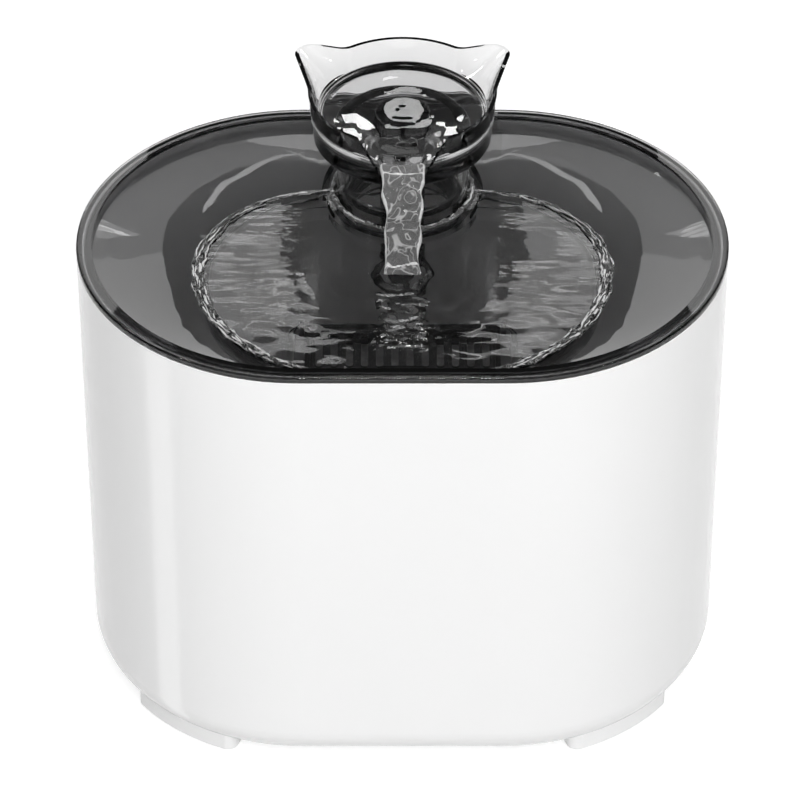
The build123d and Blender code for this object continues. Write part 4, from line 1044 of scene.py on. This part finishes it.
def stream_ribbon():
    """The ribbon has thick rolled edges, a thinner middle, and folds that grow on the way down."""
    steps, around = 220, 84
    rings = []
    for i in range(steps + 1):
        share = i / steps
        middle = stream_middle(share)
        ahead = (stream_middle(share + 0.01) - stream_middle(share - 0.01)).normalized()
        up = Vector((0, ahead.z, -ahead.y))
        loose, narrowing = stream_form(share)
        half_depth = stream_half_depths[0] + (stream_half_depths[1] - stream_half_depths[0]) * narrowing
        left, right, shift = stream_sides(share)
        ring = []
        for k in range(around):
            angle = 2 * math.pi * k / around
            u = math.copysign(abs(math.cos(angle)) ** 0.7, math.cos(angle))
            face = 1 if math.sin(angle) > 0 else -1
            body = (0.55 + 0.85 * abs(u) ** 3) * math.sqrt(max(0.0, 1 - abs(u) ** 5))
            winding = 1.2 * math.sin(share * 21)
            fold = 0.55 * noise.noise(Vector((u * 1.6 + winding, share * 11.0, 5.5 * face)))
            fold += 0.30 * noise.noise(Vector((u * 3.4, share * 24.0, 9.5 * face)))
            depth = half_depth * (body + min(body, 0.5) * loose * 1.6 * fold)
            reach = right if u > 0 else left
            ring.append(middle + Vector((shift + u * reach, 0, 0)) + up * (face * depth))
        rings.append(ring)
    return rings


def tube_from_rings(name, rings):
    """A closed tube through rings of points, with a flat cap at both ends."""
    around = len(rings[0])
    vertices, faces = [tuple(p) for ring in rings for p in ring], []
    for i in range(len(rings) - 1):
        for k in range(around):
            a, b = i * around + k, i * around + (k + 1) % around
            faces.append((a, b, b + around, a + around))
    faces.append(tuple(range(around))[::-1])
    faces.append(tuple(range((len(rings) - 1) * around, len(rings) * around)))
    made = mesh_piece(name, vertices, faces)
    merge_close(made, 1e-8)
    return made


notch_half_width = 0.0095
stream_rear = 0.0130
highlight_edge_share = 0.91
lip_front, lip_rear, lip_base = 0.0101, 0.0104, 0.1728
foot_share = 0.983, 0.996
cup_floor = 0.17285
cup_level = 0.1776
cup_radius = 0.02595
rings_in_cup = 60
cup_profile = [(0, cup_floor), (0.0238, cup_floor), (0.0251, 0.1735), (0.0259, 0.1748)]
cup_profile.append((cup_radius, cup_level))
cup_profile += [(cup_radius * (1 - i / rings_in_cup), cup_level) for i in range(1, rings_in_cup + 1)]
cup_water = turned_piece("spout_water", cup_profile, 0, spout_y, 150)
for vertex in cup_water.data.vertices:
    x, y, z = vertex.co
    if z > cup_level - 1e-6:
        away = math.hypot(x, y - spout_y)
        rings = 0.00005 * math.cos(2 * math.pi * away / 0.0062) * math.exp(-away / 0.02)
        chop = 0.00012 * wobble(x, y, 0.009, 0.006, 31.0) + 0.00003 * wobble(x, y, 0.0035, 0.003, 37.0)
        edge = max(0.0, 1 - (0.026 - away) / 0.003)
        ahead = min(1.0, max(0.0, (0.0300 - y) / 0.0160))
        slide = 0.0026 * ahead * ahead * (3 - 2 * ahead) * math.exp(-((x / notch_half_width) ** 6))
        vertex.co.z += (rings + chop) * (1 - min(1.0, edge)) - slide
combine(cup_water, "UNION", tube_from_rings("stream_ribbon", stream_ribbon()))
paint(cup_water, fresh_water, airy_water, painted_highlight_water)
# Painted highlights: the ribbon's outer edges, a band over the lip and a thin band near its foot take the
# white material.
for polygon in cup_water.data.polygons:
    x, y, z = polygon.center
    if y < stream_rear and abs(x) < notch_half_width:
        share = (y - stream_start) / (stream_foot - stream_start)
        left, right, shift = stream_sides(share)
        aside = (x - shift) / (right if x > shift else left)
        lip_end = lip_rear + 0.0005 * noise.noise(Vector((x / 0.003, 5, 5)))
        lip = lip_front < y < lip_end and z > lip_base
        foot = foot_share[0] < share < foot_share[1]
        polygon.material_index = 2 if abs(aside) > highlight_edge_share or lip or foot else 1
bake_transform(cup_water)
